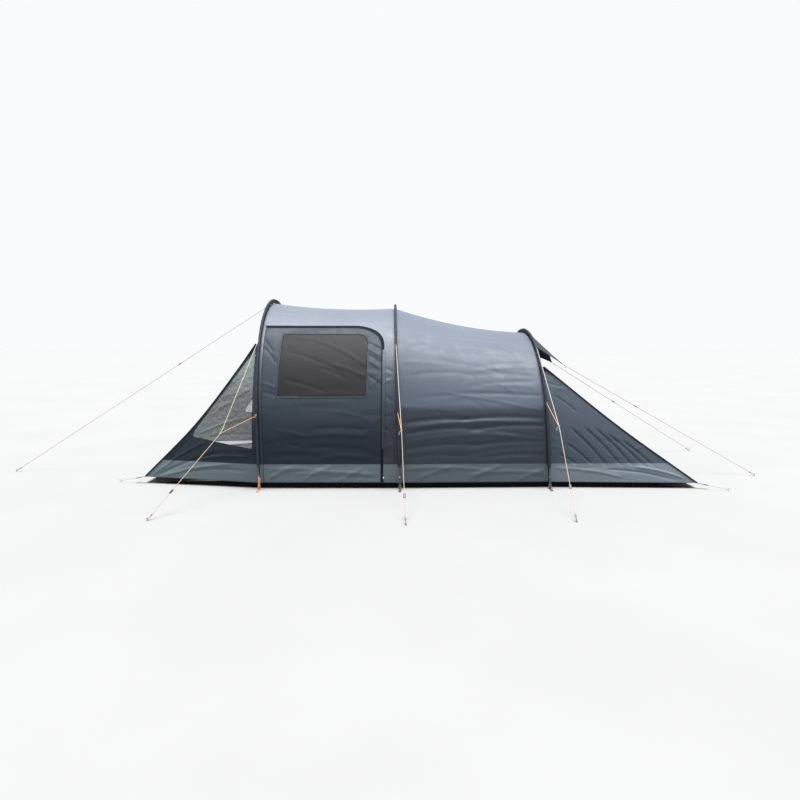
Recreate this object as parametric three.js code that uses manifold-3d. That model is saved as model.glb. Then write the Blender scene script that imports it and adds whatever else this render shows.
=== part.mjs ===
// Four-person tunnel tent: three hoop poles in sleeves, a fly with a side door, clear porch windows and a
// hooded vent, an inner tent with its own door, and nine pegged guy lines with sliding runners.
// Millimetres, +Z up, +X towards the rear end, the side door faces -Y. The ground is z = 0.
import * as THREE from 'three';
import { mergeVertices } from 'three/addons/utils/BufferGeometryUtils.js';
import Module from 'manifold-3d';

const wasm = await Module();
wasm.setup();

// ---- driving dimensions ---------------------------------------------------------------------------------

// Each hoop: x of its feet, x of its apex, half width at the ground and height of the pole's centre line.
const HOOPS = {
  front: { footX: -1230, apexX: -1340, halfWidth: 1200, height: 1735 },
  middle: { footX: 0, apexX: -50, halfWidth: 1200, height: 1680 },
  rear: { footX: 1320, apexX: 1320, halfWidth: 1162, height: 1423 },
};
const HOOP_SQUARENESS = 0.8; // 1 is an ellipse, less bulges the shoulders
const HOOP_STEPS = 24;

const POLE_RADIUS = 5.5;
const POLE_FOOT_Z = 8;
const SLEEVE_INNER = 7.5;
const SLEEVE_OUTER = 10.5;
const SLEEVE_SKIP = 1; // steps of bare pole below each end of the sleeve
const FIN_HALF_WIDTH = 2;
const FIN_DEPTH = 33;

const FABRIC = 3; // thickness of every fabric panel
const FABRIC_INSET = 37; // the panels hang this far inside the pole line
const SEAM = 3; // panels stop this far from a hoop's plane
const HEM_Z = 50;
const CUT_GAP = 2; // between a panel and what closes its opening

const FRONT_BAY_SAG = 30;
const REAR_BAY_SAG = 50;

// The porch's sloping front hangs between two piping edges, listed from the top down for +Y.
const FRONT_EDGE = [
  [-1342, 860, 1273],
  [-1505, 880, 1031],
  [-1874, 930, 537],
  [-2330, 960, 60],
];
const REAR_EDGE = [
  [1345, 830, 1058],
  [1985, 1005, 520],
  [2620, 1160, 48],
];

// Side door in the near wall, between the front hoop and the zip.
const DOOR = { frontGap: 35, rearX: -160, topZ: 1437, cornerX: 250, cornerZ: 190, hemZ: HEM_Z + 1 };
const DOOR_WINDOW = { frontX: -1110, rearX: -305, baseZ: 800, topZ: 1362, corner: 95 };

// Clear triangular window in each porch gore.
const PORCH_WINDOW = [
  [-1345, 1215],
  [-1312, 345],
  [-1900, 428],
  [-1885, 480],
];

const VENT_HOOD = { halfWidth: 600, tipX: 1690, tipY: 215, tipZ: 1058, hollow: 70, crown: 90, thickness: 3 };

const INNER = { frontX: 150, wallX: 154, inset: 160, baseZ: 8, ridgeX: 1090, endX: 2150, endHalfWidth: 900, endHeight: 300, thickness: 3 };
const INNER_DOOR = { nearY: -560, farY: 330, baseZ: 150, topZ: 1230, corner: 180 };
const GROUNDSHEET = { frontX: -1215, rearX: 120, halfWidth: 1110, thickness: 4 };
const INNER_FLOOR = { frontX: 150, rearX: 2140, halfWidth: 1000, rearHalfWidth: 880, thickness: 4 };

const LINE_RADIUS = 2;
const PEG_RADIUS = 2.5;
const PEG_HEIGHT = 26;
const PEG_HOOK = 14;
const RUNNER = { length: 34, width: 18, depth: 8, bore: 3.2 };

// Side guy lines: peg on the ground, junction of the bridle, and the heights where its two legs tie to the
// sleeve. Each is given for the near side (-Y) and mirrored to the far side.
const SIDE_GUYS = {
  front: { peg: [-1830, -2120], junction: [-1480, -1500, 540], upperZ: 1320, lowerZ: 640 },
  middle: { peg: [40, -2220], junction: [12, -1640, 585], upperZ: 1275, lowerZ: 660 },
  rear: { peg: [1270, -2150], junction: [1303, -1560, 590], upperZ: 1235, lowerZ: 740 },
};
const TIE_CLEARANCE = 14; // from the pole line out to the end of a guy line
const SIDE_RUNNER_AT = { front: 0.294, middle: 0.273, rear: 0.337 }; // share of the way from peg to junction
const FRONT_GUY = { peg: [-3820, -470], tie: [-1358, 0, 1712], runnerAt: 0.617 };
const HOOD_GUYS = {
  near: { peg: [3420, -660], tie: [1702, -221, 1050], runnerAt: 0.607 },
  far: { peg: [3420, 660], tie: [1702, 221, 1050], runnerAt: 0.573 },
};

const FOOT_TAB = { reach: 95, width: 25, thickness: 3, uprightHeight: 105, uprightOffset: 17 };
const TIP_PEGS = {
  front: { corner: [-2330, 960, 60], peg: [-2572, 922] },
  rear: { corner: [2620, 1160, 48], peg: [2848, 1251] },
};

// ---- colours ------------------------------------------------------------------------------------------

const MATERIALS = {
  fly: { color: 0x4c5a6b, roughness: 0.55, metalness: 0 },
  dark: { color: 0x1d232c, roughness: 0.7, metalness: 0 },
  mesh: { color: 0x3c3e42, roughness: 0.9, metalness: 0 },
  clear: { color: 0xaab2b2, roughness: 0.15, metalness: 0 },
  inner: { color: 0xd8d8d2, roughness: 0.8, metalness: 0 },
  floor: { color: 0x23272d, roughness: 0.6, metalness: 0 },
  pole: { color: 0x2a2c30, roughness: 0.35, metalness: 0 },
  webbing: { color: 0xd8732f, roughness: 0.8, metalness: 0 },
  cord: { color: 0xcdbfae, roughness: 0.8, metalness: 0 },
  plastic: { color: 0x24262a, roughness: 0.5, metalness: 0 },
  steel: { color: 0x9a9ea3, roughness: 0.4, metalness: 1 },
};

const tent = new THREE.Group();

function addPart(name, geometry, material) {
  const mesh = new THREE.Mesh(geometry, new THREE.MeshStandardMaterial(MATERIALS[material]));
  mesh.name = name;
  tent.add(mesh);
}

// ---- solids -------------------------------------------------------------------------------------------

// A closed three.js geometry as a manifold-3d solid.
function toSolid(geometry) {
  const bare = geometry.clone();
  bare.deleteAttribute('normal');
  bare.deleteAttribute('uv');
  const merged = mergeVertices(bare, 1e-3);
  const vertProperties = new Float32Array(merged.attributes.position.array);
  const triVerts = new Uint32Array(merged.index.array);
  return new wasm.Manifold(new wasm.Mesh({ numProp: 3, vertProperties, triVerts }));
}

const FINEST_EDGE = 0.05; // shorter edges left by a cut are merged away

function toGeometry(solid) {
  const { vertProperties, triVerts } = solid.simplify(FINEST_EDGE).getMesh();
  const geometry = new THREE.BufferGeometry();
  geometry.setAttribute('position', new THREE.BufferAttribute(new Float32Array(vertProperties), 3));
  geometry.setIndex(new THREE.BufferAttribute(new Uint32Array(triVerts), 1));
  geometry.computeVertexNormals();
  return geometry;
}

function union(geometries) {
  return geometries.map(toSolid).reduce((whole, piece) => whole.add(piece));
}

// A panel of even thickness bent over the surface place(u, v), with u and v from 0 to 1.
// Its two faces are split along the same diagonals, so a twisted panel keeps its thickness.
function bentSheet(columns, rows, thickness, place) {
  const step = 1e-4;
  const positions = [];
  const surfacePoint = (u, v, offset) => {
    const alongU = place(Math.min(u + step, 1), v).sub(place(Math.max(u - step, 0), v));
    const alongV = place(u, Math.min(v + step, 1)).sub(place(u, Math.max(v - step, 0)));
    const normal = alongU.cross(alongV).normalize();
    return place(u, v).addScaledVector(normal, offset);
  };
  for (const offset of [thickness / 2, -thickness / 2]) {
    for (let j = 0; j <= rows; j += 1) {
      for (let i = 0; i <= columns; i += 1) positions.push(...surfacePoint(i / columns, j / rows, offset).toArray());
    }
  }
  const layer = (columns + 1) * (rows + 1);
  const at = (i, j) => j * (columns + 1) + i;
  const index = [];
  const split = (a, b, c, d) => index.push(a, b, c, a, c, d);
  for (let j = 0; j < rows; j += 1) {
    for (let i = 0; i < columns; i += 1) {
      const [a, b, c, d] = [at(i, j), at(i + 1, j), at(i + 1, j + 1), at(i, j + 1)];
      split(a, b, c, d);
      index.push(layer + a, layer + c, layer + b, layer + a, layer + d, layer + c);
    }
  }
  const rim = [];
  for (let i = 0; i < columns; i += 1) rim.push(at(i, 0));
  for (let j = 0; j < rows; j += 1) rim.push(at(columns, j));
  for (let i = columns; i > 0; i -= 1) rim.push(at(i, rows));
  for (let j = rows; j > 0; j -= 1) rim.push(at(0, j));
  rim.forEach((a, k) => {
    const b = rim[(k + 1) % rim.length];
    split(b, a, layer + a, layer + b);
  });
  const geometry = new THREE.BufferGeometry();
  geometry.setAttribute('position', new THREE.Float32BufferAttribute(positions, 3));
  geometry.setIndex(index);
  geometry.computeVertexNormals();
  return geometry;
}

// A flat outline pushed along Y from lowY to highY; the outline's own axes are X and Z.
function prismAlongY(outline, lowY, highY) {
  const geometry = new THREE.ExtrudeGeometry(outline, { depth: highY - lowY, bevelEnabled: false, curveSegments: 6 });
  geometry.rotateX(Math.PI / 2);
  geometry.translate(0, highY, 0);
  return geometry;
}

// A flat outline pushed along X from lowX to highX; the outline's own axes are Y and Z.
function prismAlongX(outline, lowX, highX) {
  const geometry = new THREE.ExtrudeGeometry(outline, { depth: highX - lowX, bevelEnabled: false, curveSegments: 6 });
  geometry.applyMatrix4(new THREE.Matrix4().set(0, 0, 1, lowX, 1, 0, 0, 0, 0, 1, 0, 0, 0, 0, 0, 1));
  return geometry;
}

function polygon(radius, sides) {
  const shape = new THREE.Shape();
  for (let i = 0; i < sides; i += 1) {
    const angle = (2 * Math.PI * (i + 0.5)) / sides;
    const x = radius * Math.cos(angle);
    const y = radius * Math.sin(angle);
    if (i === 0) shape.moveTo(x, y);
    else shape.lineTo(x, y);
  }
  shape.closePath();
  return shape;
}

function tubeAlong(curve, radius, sides, steps) {
  return new THREE.ExtrudeGeometry(polygon(radius, sides), { extrudePath: curve, steps, bevelEnabled: false });
}

function straightTube(start, end, radius, sides) {
  return tubeAlong(new THREE.LineCurve3(start, end), radius, sides, 1);
}

// A flat strip from start to end: width lies level across the run, thickness stands across both.
function strip(start, end, width, thickness) {
  const run = end.clone().sub(start);
  const geometry = new THREE.BoxGeometry(run.length(), width, thickness);
  const along = run.clone().normalize();
  const across = new THREE.Vector3(0, 0, 1).cross(along).normalize();
  const up = along.clone().cross(across);
  geometry.applyMatrix4(new THREE.Matrix4().makeBasis(along, across, up));
  geometry.translate((start.x + end.x) / 2, (start.y + end.y) / 2, (start.z + end.z) / 2);
  return geometry;
}

const vector = ([x, y, z]) => new THREE.Vector3(x, y, z);
const mirrored = (side, point) => new THREE.Vector3(point[0], side * point[1], point[2]);

// ---- hoops --------------------------------------------------------------------------------------------

// One hoop's line from its near foot (-Y) to its far foot, moved in towards the tent by inset.
class HoopCurve extends THREE.Curve {
  constructor(hoop, inset = 0, baseZ = 0, topZ = Infinity) {
    super();
    this.hoop = hoop;
    this.halfWidth = hoop.halfWidth - inset;
    this.height = hoop.height - inset;
    this.firstAngle = this.angleAt(baseZ);
    this.lastAngle = topZ < this.height ? this.angleAt(topZ) : Math.PI - this.firstAngle;
  }

  angleAt(z) {
    return Math.asin((z / this.height) ** (1 / HOOP_SQUARENESS));
  }

  getPoint(t, target = new THREE.Vector3()) {
    const angle = this.firstAngle + (this.lastAngle - this.firstAngle) * t;
    const z = this.height * Math.sin(angle) ** HOOP_SQUARENESS;
    const lean = (this.hoop.apexX - this.hoop.footX) / this.hoop.height;
    return target.set(this.hoop.footX + lean * z, -this.halfWidth * Math.cos(angle), z);
  }
}

// A section swept along a hoop: its x runs across the hoop's plane and its y points outwards.
// skip steps are left bare at both ends, so that a pole and its sleeve bend at the same places.
function sweepHoop(section, curve, skip = 0) {
  const steps = HOOP_STEPS - 2 * skip;
  const geometry = new THREE.ExtrudeGeometry(section, { depth: steps, steps, bevelEnabled: false });
  const position = geometry.attributes.position;
  const foot = curve.getPoint(0);
  const apex = curve.getPoint(0.5);
  const across = new THREE.Vector3(apex.z - foot.z, 0, foot.x - apex.x).normalize();
  for (let i = 0; i < position.count; i += 1) {
    const t = (position.getZ(i) + skip) / HOOP_STEPS;
    const tangent = curve.getTangentAt(t);
    const outwards = tangent.clone().cross(across).normalize();
    const point = curve.getPointAt(t);
    // The near foot points outwards to -Y, which is where tangent x across leads once it is turned round.
    point.addScaledVector(across, -position.getX(i)).addScaledVector(outwards, -position.getY(i));
    position.setXYZ(i, point.x, point.y, point.z);
  }
  return geometry;
}

function sleeveSection() {
  const section = new THREE.Shape();
  const neck = -Math.sqrt(SLEEVE_OUTER ** 2 - FIN_HALF_WIDTH ** 2);
  const start = Math.atan2(neck, FIN_HALF_WIDTH);
  const sweep = 2 * Math.PI - 2 * (Math.PI / 2 + start);
  const arcSteps = 6;
  section.moveTo(FIN_HALF_WIDTH, -FIN_DEPTH);
  for (let i = 0; i <= arcSteps; i += 1) {
    const angle = start + (sweep * i) / arcSteps;
    section.lineTo(SLEEVE_OUTER * Math.cos(angle), SLEEVE_OUTER * Math.sin(angle));
  }
  section.lineTo(-FIN_HALF_WIDTH, -FIN_DEPTH);
  section.closePath();
  const bore = new THREE.Path();
  polygon(SLEEVE_INNER, 6).getPoints().forEach((point, i) => {
    if (i === 0) bore.moveTo(point.x, point.y);
    else bore.lineTo(point.x, point.y);
  });
  section.holes.push(bore);
  return section;
}

for (const [name, hoop] of Object.entries(HOOPS)) {
  const poleLine = new HoopCurve(hoop, 0, POLE_FOOT_Z);
  addPart(`pole_${name}`, sweepHoop(polygon(POLE_RADIUS, 6), poleLine), 'pole');
  addPart(`sleeve_${name}`, sweepHoop(sleeveSection(), poleLine, SLEEVE_SKIP), 'dark');
}

// ---- tunnel bays --------------------------------------------------------------------------------------

// The panel between two hoops, sagging inwards halfway, most of all in the roof.
function bay(first, second, sag, columns, rows) {
  const start = new HoopCurve(first, FABRIC_INSET, HEM_Z);
  const end = new HoopCurve(second, FABRIC_INSET, HEM_Z);
  return bentSheet(columns, rows, FABRIC, (u, v) => {
    const a = start.getPointAt(v);
    const b = end.getPointAt(v);
    a.x += SEAM;
    b.x -= SEAM;
    const point = a.lerp(b, u);
    const dip = sag * 4 * u * (1 - u) * Math.sin(Math.PI * v);
    const span = Math.hypot(point.y, point.z);
    point.y -= (dip * point.y) / span;
    point.z -= (dip * point.z) / span;
    return point;
  });
}

// The side door's outline, grown or shrunk by grow; its front edge follows the front hoop.
function doorOutline(grow) {
  const { footX, apexX, height } = HOOPS.front;
  const lean = (apexX - footX) / height;
  const frontX = (z) => footX + lean * z + DOOR.frontGap - grow;
  const top = DOOR.topZ + grow;
  const rear = DOOR.rearX + grow;
  const base = DOOR.hemZ - grow;
  const outline = new THREE.Shape();
  outline.moveTo(frontX(base), base);
  outline.lineTo(rear, base);
  outline.lineTo(rear, top - DOOR.cornerZ);
  outline.bezierCurveTo(rear, top - DOOR.cornerZ * 0.4, rear - DOOR.cornerX * 0.35, top - 20, rear - DOOR.cornerX, top);
  outline.lineTo(frontX(top), top);
  outline.closePath();
  return outline;
}

function doorWindowOutline(grow) {
  const front = DOOR_WINDOW.frontX - grow;
  const rear = DOOR_WINDOW.rearX + grow;
  const base = DOOR_WINDOW.baseZ - grow;
  const top = DOOR_WINDOW.topZ + grow;
  const outline = new THREE.Shape();
  outline.moveTo(front, base);
  outline.lineTo(rear, base);
  outline.lineTo(rear, top - DOOR_WINDOW.corner);
  outline.quadraticCurveTo(rear, top, rear - DOOR_WINDOW.corner, top);
  outline.lineTo(front, top);
  outline.closePath();
  return outline;
}

const NEAR_WALL = [-1400, -450];
const livingSolid = toSolid(bay(HOOPS.front, HOOPS.middle, FRONT_BAY_SAG, 5, 26));
// The opening runs on down through the hem, so the cut starts below it.
const doorCut = doorOutline(CUT_GAP);
const doorCutSolid = toSolid(prismAlongY(doorCut, ...NEAR_WALL));
const hemCut = new THREE.BoxGeometry(DOOR.rearX - HOOPS.front.footX - DOOR.frontGap, NEAR_WALL[1] - NEAR_WALL[0], 40);
hemCut.translate(
  (DOOR.rearX + CUT_GAP + HOOPS.front.footX + DOOR.frontGap + CUT_GAP) / 2,
  (NEAR_WALL[0] + NEAR_WALL[1]) / 2,
  HEM_Z - 15,
);
addPart('fly_living', toGeometry(livingSolid.subtract(doorCutSolid).subtract(toSolid(hemCut))), 'fly');
addPart('fly_bedroom', bay(HOOPS.middle, HOOPS.rear, REAR_BAY_SAG, 6, 26), 'fly');

const doorSolid = livingSolid.intersect(toSolid(prismAlongY(doorOutline(-CUT_GAP / 2), ...NEAR_WALL)));
const windowCut = toSolid(prismAlongY(doorWindowOutline(0), ...NEAR_WALL));
const windowPane = toSolid(prismAlongY(doorWindowOutline(-CUT_GAP / 2), ...NEAR_WALL));
addPart('side_door', toGeometry(doorSolid.subtract(windowCut)), 'fly');
addPart('side_door_mesh', toGeometry(doorSolid.intersect(windowPane)), 'mesh');

// ---- wedge ends ---------------------------------------------------------------------------------------

// An end of the fly: near gore, sloping panel and far gore as one sheet wrapped around both piping edges.
function wedge(hoop, seam, edgePoints, gorePanels, slopePanels, rows, slack) {
  const topZ = edgePoints[0][2];
  const hoopLine = new HoopCurve(hoop, FABRIC_INSET, HEM_Z, topZ);
  const edge = new THREE.CatmullRomCurve3(edgePoints.map(vector).reverse(), false, 'centripetal');
  const columns = 2 * gorePanels + slopePanels;
  const nearCorner = gorePanels / columns;
  const farCorner = 1 - nearCorner;
  const direction = Math.sign(edgePoints[0][0]);
  return bentSheet(columns, rows, FABRIC, (u, v) => {
    const atHoop = hoopLine.getPointAt(v);
    atHoop.x += seam;
    const far = edge.getPointAt(v);
    const near = far.clone();
    near.y = -far.y;
    if (u < nearCorner) return atHoop.lerp(near, u / nearCorner);
    if (u > farCorner) {
      atHoop.y *= -1;
      return far.lerp(atHoop, (u - farCorner) / nearCorner);
    }
    const w = (u - nearCorner) / (farCorner - nearCorner);
    const dip = slack * 4 * w * (1 - w) * Math.sin(Math.PI * v);
    near.lerp(far, w);
    near.x -= direction * dip * 0.6;
    near.z -= dip * 0.8;
    return near;
  });
}

// The upright panel between a wedge's top edge and the hoop's arch.
function lunette(hoop, seam, edgeTop, drop, columns, rows) {
  const [edgeX, edgeY, edgeZ] = edgeTop;
  const arch = new HoopCurve(hoop, FABRIC_INSET, edgeZ);
  return bentSheet(columns, rows, FABRIC, (u, v) => {
    const top = arch.getPointAt(u);
    top.x += seam;
    const bottom = new THREE.Vector3(edgeX, edgeY * (2 * u - 1), edgeZ - drop);
    return bottom.lerp(top, v);
  });
}

const goreWindow = (grow) => {
  const centre = new THREE.Vector2(-1480, 640);
  const outline = new THREE.Shape();
  PORCH_WINDOW.forEach(([x, z], i) => {
    const out = new THREE.Vector2(x, z).sub(centre);
    out.setLength(out.length() + grow).add(centre);
    if (i === 0) outline.moveTo(out.x, out.y);
    else outline.lineTo(out.x, out.y);
  });
  outline.closePath();
  return outline;
};

const LUNETTE_LAP = 12; // how far the front lunette laps below the slope's top edge
const frontWedge = toSolid(wedge(HOOPS.front, -SEAM, FRONT_EDGE, 3, 6, 8, 25));
const frontLunette = toSolid(lunette(HOOPS.front, -SEAM, FRONT_EDGE[0], LUNETTE_LAP, 10, 2));
const SIDE_SPANS = { near: [-1300, -820], far: [820, 1300] };
let porch = frontWedge.add(frontLunette);
for (const [side, span] of Object.entries(SIDE_SPANS)) {
  porch = porch.subtract(toSolid(prismAlongY(goreWindow(CUT_GAP), ...span)));
  const pane = frontWedge.intersect(toSolid(prismAlongY(goreWindow(-CUT_GAP), ...span)));
  addPart(`porch_window_${side}`, toGeometry(pane), 'clear');
}
addPart('fly_porch', toGeometry(porch), 'fly');
addPart('fly_rear_end', wedge(HOOPS.rear, SEAM, REAR_EDGE, 3, 6, 7, 20), 'fly');

const MESH_RISE = 8; // the vent mesh starts this far above the rear slope's top edge
const ventEdge = [REAR_EDGE[0][0] - 10, REAR_EDGE[0][1] - 60, REAR_EDGE[0][2] + 2 * MESH_RISE];
addPart('vent_mesh', lunette(HOOPS.rear, SEAM, ventEdge, MESH_RISE, 10, 2), 'mesh');

// The hood reaches from the rear sleeve's crown out to two tips, with a hollow edge between them.
function ventHood() {
  const { halfWidth, tipX, tipY, tipZ, hollow, crown, thickness } = VENT_HOOD;
  const reachX = HOOPS.rear.apexX + SLEEVE_OUTER + 4;
  const arch = new HoopCurve(HOOPS.rear, 16);
  const startAngle = Math.acos(halfWidth / arch.halfWidth);
  arch.firstAngle = startAngle;
  arch.lastAngle = Math.PI - startAngle;
  return bentSheet(10, 4, thickness, (u, v) => {
    const top = arch.getPointAt(u);
    top.x = reachX;
    const bow = Math.sin(Math.PI * u);
    const tip = new THREE.Vector3(tipX - hollow * bow, tipY * (2 * u - 1), tipZ + crown * bow);
    return top.lerp(tip, v);
  });
}
addPart('vent_hood', ventHood(), 'fly');

// ---- inner tent and floors ----------------------------------------------------------------------------

// The inner tent's roof and walls: it hangs inside the rear bay, then slopes down to a low foot end.
function innerRoof() {
  const front = new HoopCurve(HOOPS.middle, INNER.inset, INNER.baseZ);
  const rear = new HoopCurve(HOOPS.rear, INNER.inset, INNER.baseZ);
  const foot = { footX: INNER.endX, apexX: INNER.endX, halfWidth: INNER.endHalfWidth, height: INNER.endHeight };
  const end = new HoopCurve(foot, 0, INNER.baseZ);
  const bend = 0.45;
  return bentSheet(6, 16, INNER.thickness, (u, v) => {
    const a = front.getPointAt(v);
    const b = rear.getPointAt(v);
    a.x = INNER.frontX;
    b.x = INNER.ridgeX;
    if (u < bend) return a.lerp(b, u / bend);
    return b.lerp(end.getPointAt(v), (u - bend) / (1 - bend));
  });
}

// A flat wall across an arch, filling it down to the floor.
function archWall(arch, x) {
  const outline = new THREE.Shape();
  const points = arch.getSpacedPoints(16);
  points.forEach((point, i) => {
    if (i === 0) outline.moveTo(point.y, point.z);
    else outline.lineTo(point.y, point.z);
  });
  outline.closePath();
  return prismAlongX(outline, x, x + INNER.thickness);
}

function innerDoorOutline(grow) {
  const near = INNER_DOOR.nearY - grow;
  const far = INNER_DOOR.farY + grow;
  const base = INNER_DOOR.baseZ - grow;
  const top = INNER_DOOR.topZ + grow;
  const r = INNER_DOOR.corner;
  const outline = new THREE.Shape();
  outline.moveTo(near, base);
  outline.lineTo(far, base);
  outline.lineTo(far, top - r);
  outline.quadraticCurveTo(far, top, far - r, top);
  outline.lineTo(near + r, top);
  outline.quadraticCurveTo(near, top, near, top - r);
  outline.closePath();
  return outline;
}

const innerFrontArch = new HoopCurve(HOOPS.middle, INNER.inset, INNER.baseZ);
const footArch = new HoopCurve(
  { footX: INNER.endX, apexX: INNER.endX, halfWidth: INNER.endHalfWidth, height: INNER.endHeight },
  0,
  INNER.baseZ,
);
const frontWall = toSolid(archWall(innerFrontArch, INNER.wallX));
const doorway = toSolid(prismAlongX(innerDoorOutline(0), INNER.wallX - 50, INNER.wallX + 50));
const innerSolid = toSolid(innerRoof())
  .add(frontWall.subtract(doorway))
  .add(toSolid(archWall(footArch, INNER.endX - 2)));
addPart('inner_canopy', toGeometry(innerSolid), 'inner');
addPart('inner_door', prismAlongX(innerDoorOutline(-CUT_GAP), INNER.wallX, INNER.wallX + INNER.thickness), 'inner');

function floorSheet(frontX, rearX, frontHalfWidth, rearHalfWidth, thickness) {
  const outline = new THREE.Shape();
  outline.moveTo(frontX, -frontHalfWidth);
  outline.lineTo(rearX, -rearHalfWidth);
  outline.lineTo(rearX, rearHalfWidth);
  outline.lineTo(frontX, frontHalfWidth);
  outline.closePath();
  return new THREE.ExtrudeGeometry(outline, { depth: thickness, bevelEnabled: false });
}

addPart(
  'groundsheet',
  floorSheet(
    GROUNDSHEET.frontX,
    GROUNDSHEET.rearX,
    GROUNDSHEET.halfWidth,
    GROUNDSHEET.halfWidth,
    GROUNDSHEET.thickness,
  ),
  'floor',
);
addPart(
  'inner_floor',
  floorSheet(
    INNER_FLOOR.frontX,
    INNER_FLOOR.rearX,
    INNER_FLOOR.halfWidth,
    INNER_FLOOR.rearHalfWidth,
    INNER_FLOOR.thickness,
  ),
  'floor',
);

// ---- door zip slider ----------------------------------------------------------------------------------

// The slider's body and puller, parked at the foot of the zip on the fixed side of the opening.
function zipSlider() {
  const wall = new HoopCurve(HOOPS.middle, FABRIC_INSET, HEM_Z);
  const surface = wall.getPoint(0.03);
  const centreX = DOOR.rearX + 15;
  const outerY = surface.y - 13;
  const body = new THREE.BoxGeometry(14, 8, 20);
  body.translate(centreX, outerY, 92);
  const puller = new THREE.BoxGeometry(8, 3, 34);
  puller.translate(centreX, outerY - 4, 70);
  return toGeometry(union([body, puller]));
}
addPart('door_zip_slider', zipSlider(), 'steel');

// ---- pegs, foot tabs and tip straps -------------------------------------------------------------------

// The part of a ground peg that stands above the ground, its hook pointing along outwards.
function peg(foot, outwards) {
  const lead = outwards.clone().setZ(0).normalize();
  const top = new THREE.Vector3(foot.x, foot.y, PEG_HEIGHT);
  const path = new THREE.CurvePath();
  const base = new THREE.Vector3(foot.x, foot.y, 0);
  const neck = top.clone().setZ(PEG_HEIGHT - 6);
  const hookEnd = top.clone().addScaledVector(lead, PEG_HOOK);
  path.add(new THREE.LineCurve3(base, neck));
  path.add(new THREE.QuadraticBezierCurve3(neck, top, top.clone().addScaledVector(lead, 6)));
  path.add(new THREE.LineCurve3(top.clone().addScaledVector(lead, 6), hookEnd));
  return tubeAlong(path, PEG_RADIUS, 6, 7);
}

// Webbing tab at a pole's foot: a ground strap out to a peg and an upright strap past the sleeve.
function footTab(hoop, side) {
  const footY = side * hoop.halfWidth;
  const outY = footY + side * FOOT_TAB.reach;
  const level = FOOT_TAB.thickness / 2;
  const inner = new THREE.Vector3(hoop.footX, footY - side * 14, level);
  const outer = new THREE.Vector3(hoop.footX, outY, level);
  const ground = strip(inner, outer, FOOT_TAB.width, FOOT_TAB.thickness);
  const upright = new THREE.BoxGeometry(FOOT_TAB.width - 5, FOOT_TAB.thickness, FOOT_TAB.uprightHeight);
  const uprightY = footY + side * FOOT_TAB.uprightOffset;
  upright.translate(hoop.footX, uprightY, FOOT_TAB.uprightHeight / 2);
  const pegFoot = new THREE.Vector3(hoop.footX, outY - side * 12, 0);
  return toGeometry(union([ground, upright, peg(pegFoot, new THREE.Vector3(0, side, 0))]));
}

// Strap from a corner of the fly's hem, through a ladder buckle, to the corner's peg.
function tipStrap(tip, side) {
  const corner = mirrored(side, tip.corner);
  const pegFoot = new THREE.Vector3(tip.peg[0], side * tip.peg[1], 0);
  const run = pegFoot.clone().setZ(14).sub(corner);
  const out = run.clone().normalize();
  const start = corner.clone().addScaledVector(out, 6);
  const buckle = corner.clone().addScaledVector(out, run.length() * 0.28);
  const end = pegFoot.clone().setZ(14);
  const webbing = strip(start, buckle, 20, 2.5);
  const slider = strip(
    buckle.clone().addScaledVector(out, -16),
    buckle.clone().addScaledVector(out, 16),
    28,
    6,
  );
  const cord = straightTube(buckle, end, 2.5, 6);
  return toGeometry(union([webbing, slider, cord, peg(pegFoot, out)]));
}

const SIDES = { near: -1, far: 1 };
for (const [sideName, side] of Object.entries(SIDES)) {
  for (const [name, hoop] of Object.entries(HOOPS)) {
    addPart(`foot_tab_${name}_${sideName}`, footTab(hoop, side), 'webbing');
  }
  for (const [name, tip] of Object.entries(TIP_PEGS)) {
    addPart(`tip_strap_${name}_${sideName}`, tipStrap(tip, side), 'webbing');
  }
}

// ---- guy lines ----------------------------------------------------------------------------------------

const LINE_END_Z = 11;

// Where a line stops beside its peg: on the way back to the tent, just clear of the peg's shank.
function lineEnd(pegXY, towards) {
  const end = new THREE.Vector3(pegXY[0], pegXY[1], LINE_END_Z);
  const back = towards.clone().sub(end).setZ(0).normalize();
  return end.addScaledVector(back, PEG_RADIUS + 1);
}

// A three-hole line runner around the line, long way along it.
function runner(start, end, share) {
  const outline = new THREE.Shape();
  const halfWidth = RUNNER.width / 2;
  const halfDepth = RUNNER.depth / 2;
  outline.moveTo(-halfWidth, -halfDepth + 2);
  outline.lineTo(-halfWidth + 2, -halfDepth);
  outline.lineTo(halfWidth - 2, -halfDepth);
  outline.lineTo(halfWidth, -halfDepth + 2);
  outline.lineTo(halfWidth, halfDepth - 2);
  outline.lineTo(halfWidth - 2, halfDepth);
  outline.lineTo(-halfWidth + 2, halfDepth);
  outline.lineTo(-halfWidth, halfDepth - 2);
  outline.closePath();
  const bore = new THREE.Path();
  polygon(RUNNER.bore, 8).getPoints().forEach((point, i) => {
    if (i === 0) bore.moveTo(point.x, point.y);
    else bore.lineTo(point.x, point.y);
  });
  outline.holes.push(bore);
  const geometry = new THREE.ExtrudeGeometry(outline, { depth: RUNNER.length, bevelEnabled: false });
  geometry.translate(0, 0, -RUNNER.length / 2);
  const along = end.clone().sub(start).normalize();
  const across = new THREE.Vector3(0, 0, 1).cross(along).normalize();
  const up = along.clone().cross(across);
  geometry.applyMatrix4(new THREE.Matrix4().makeBasis(across, up, along));
  const centre = start.clone().lerp(end, share);
  geometry.translate(centre.x, centre.y, centre.z);
  return geometry;
}

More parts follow.
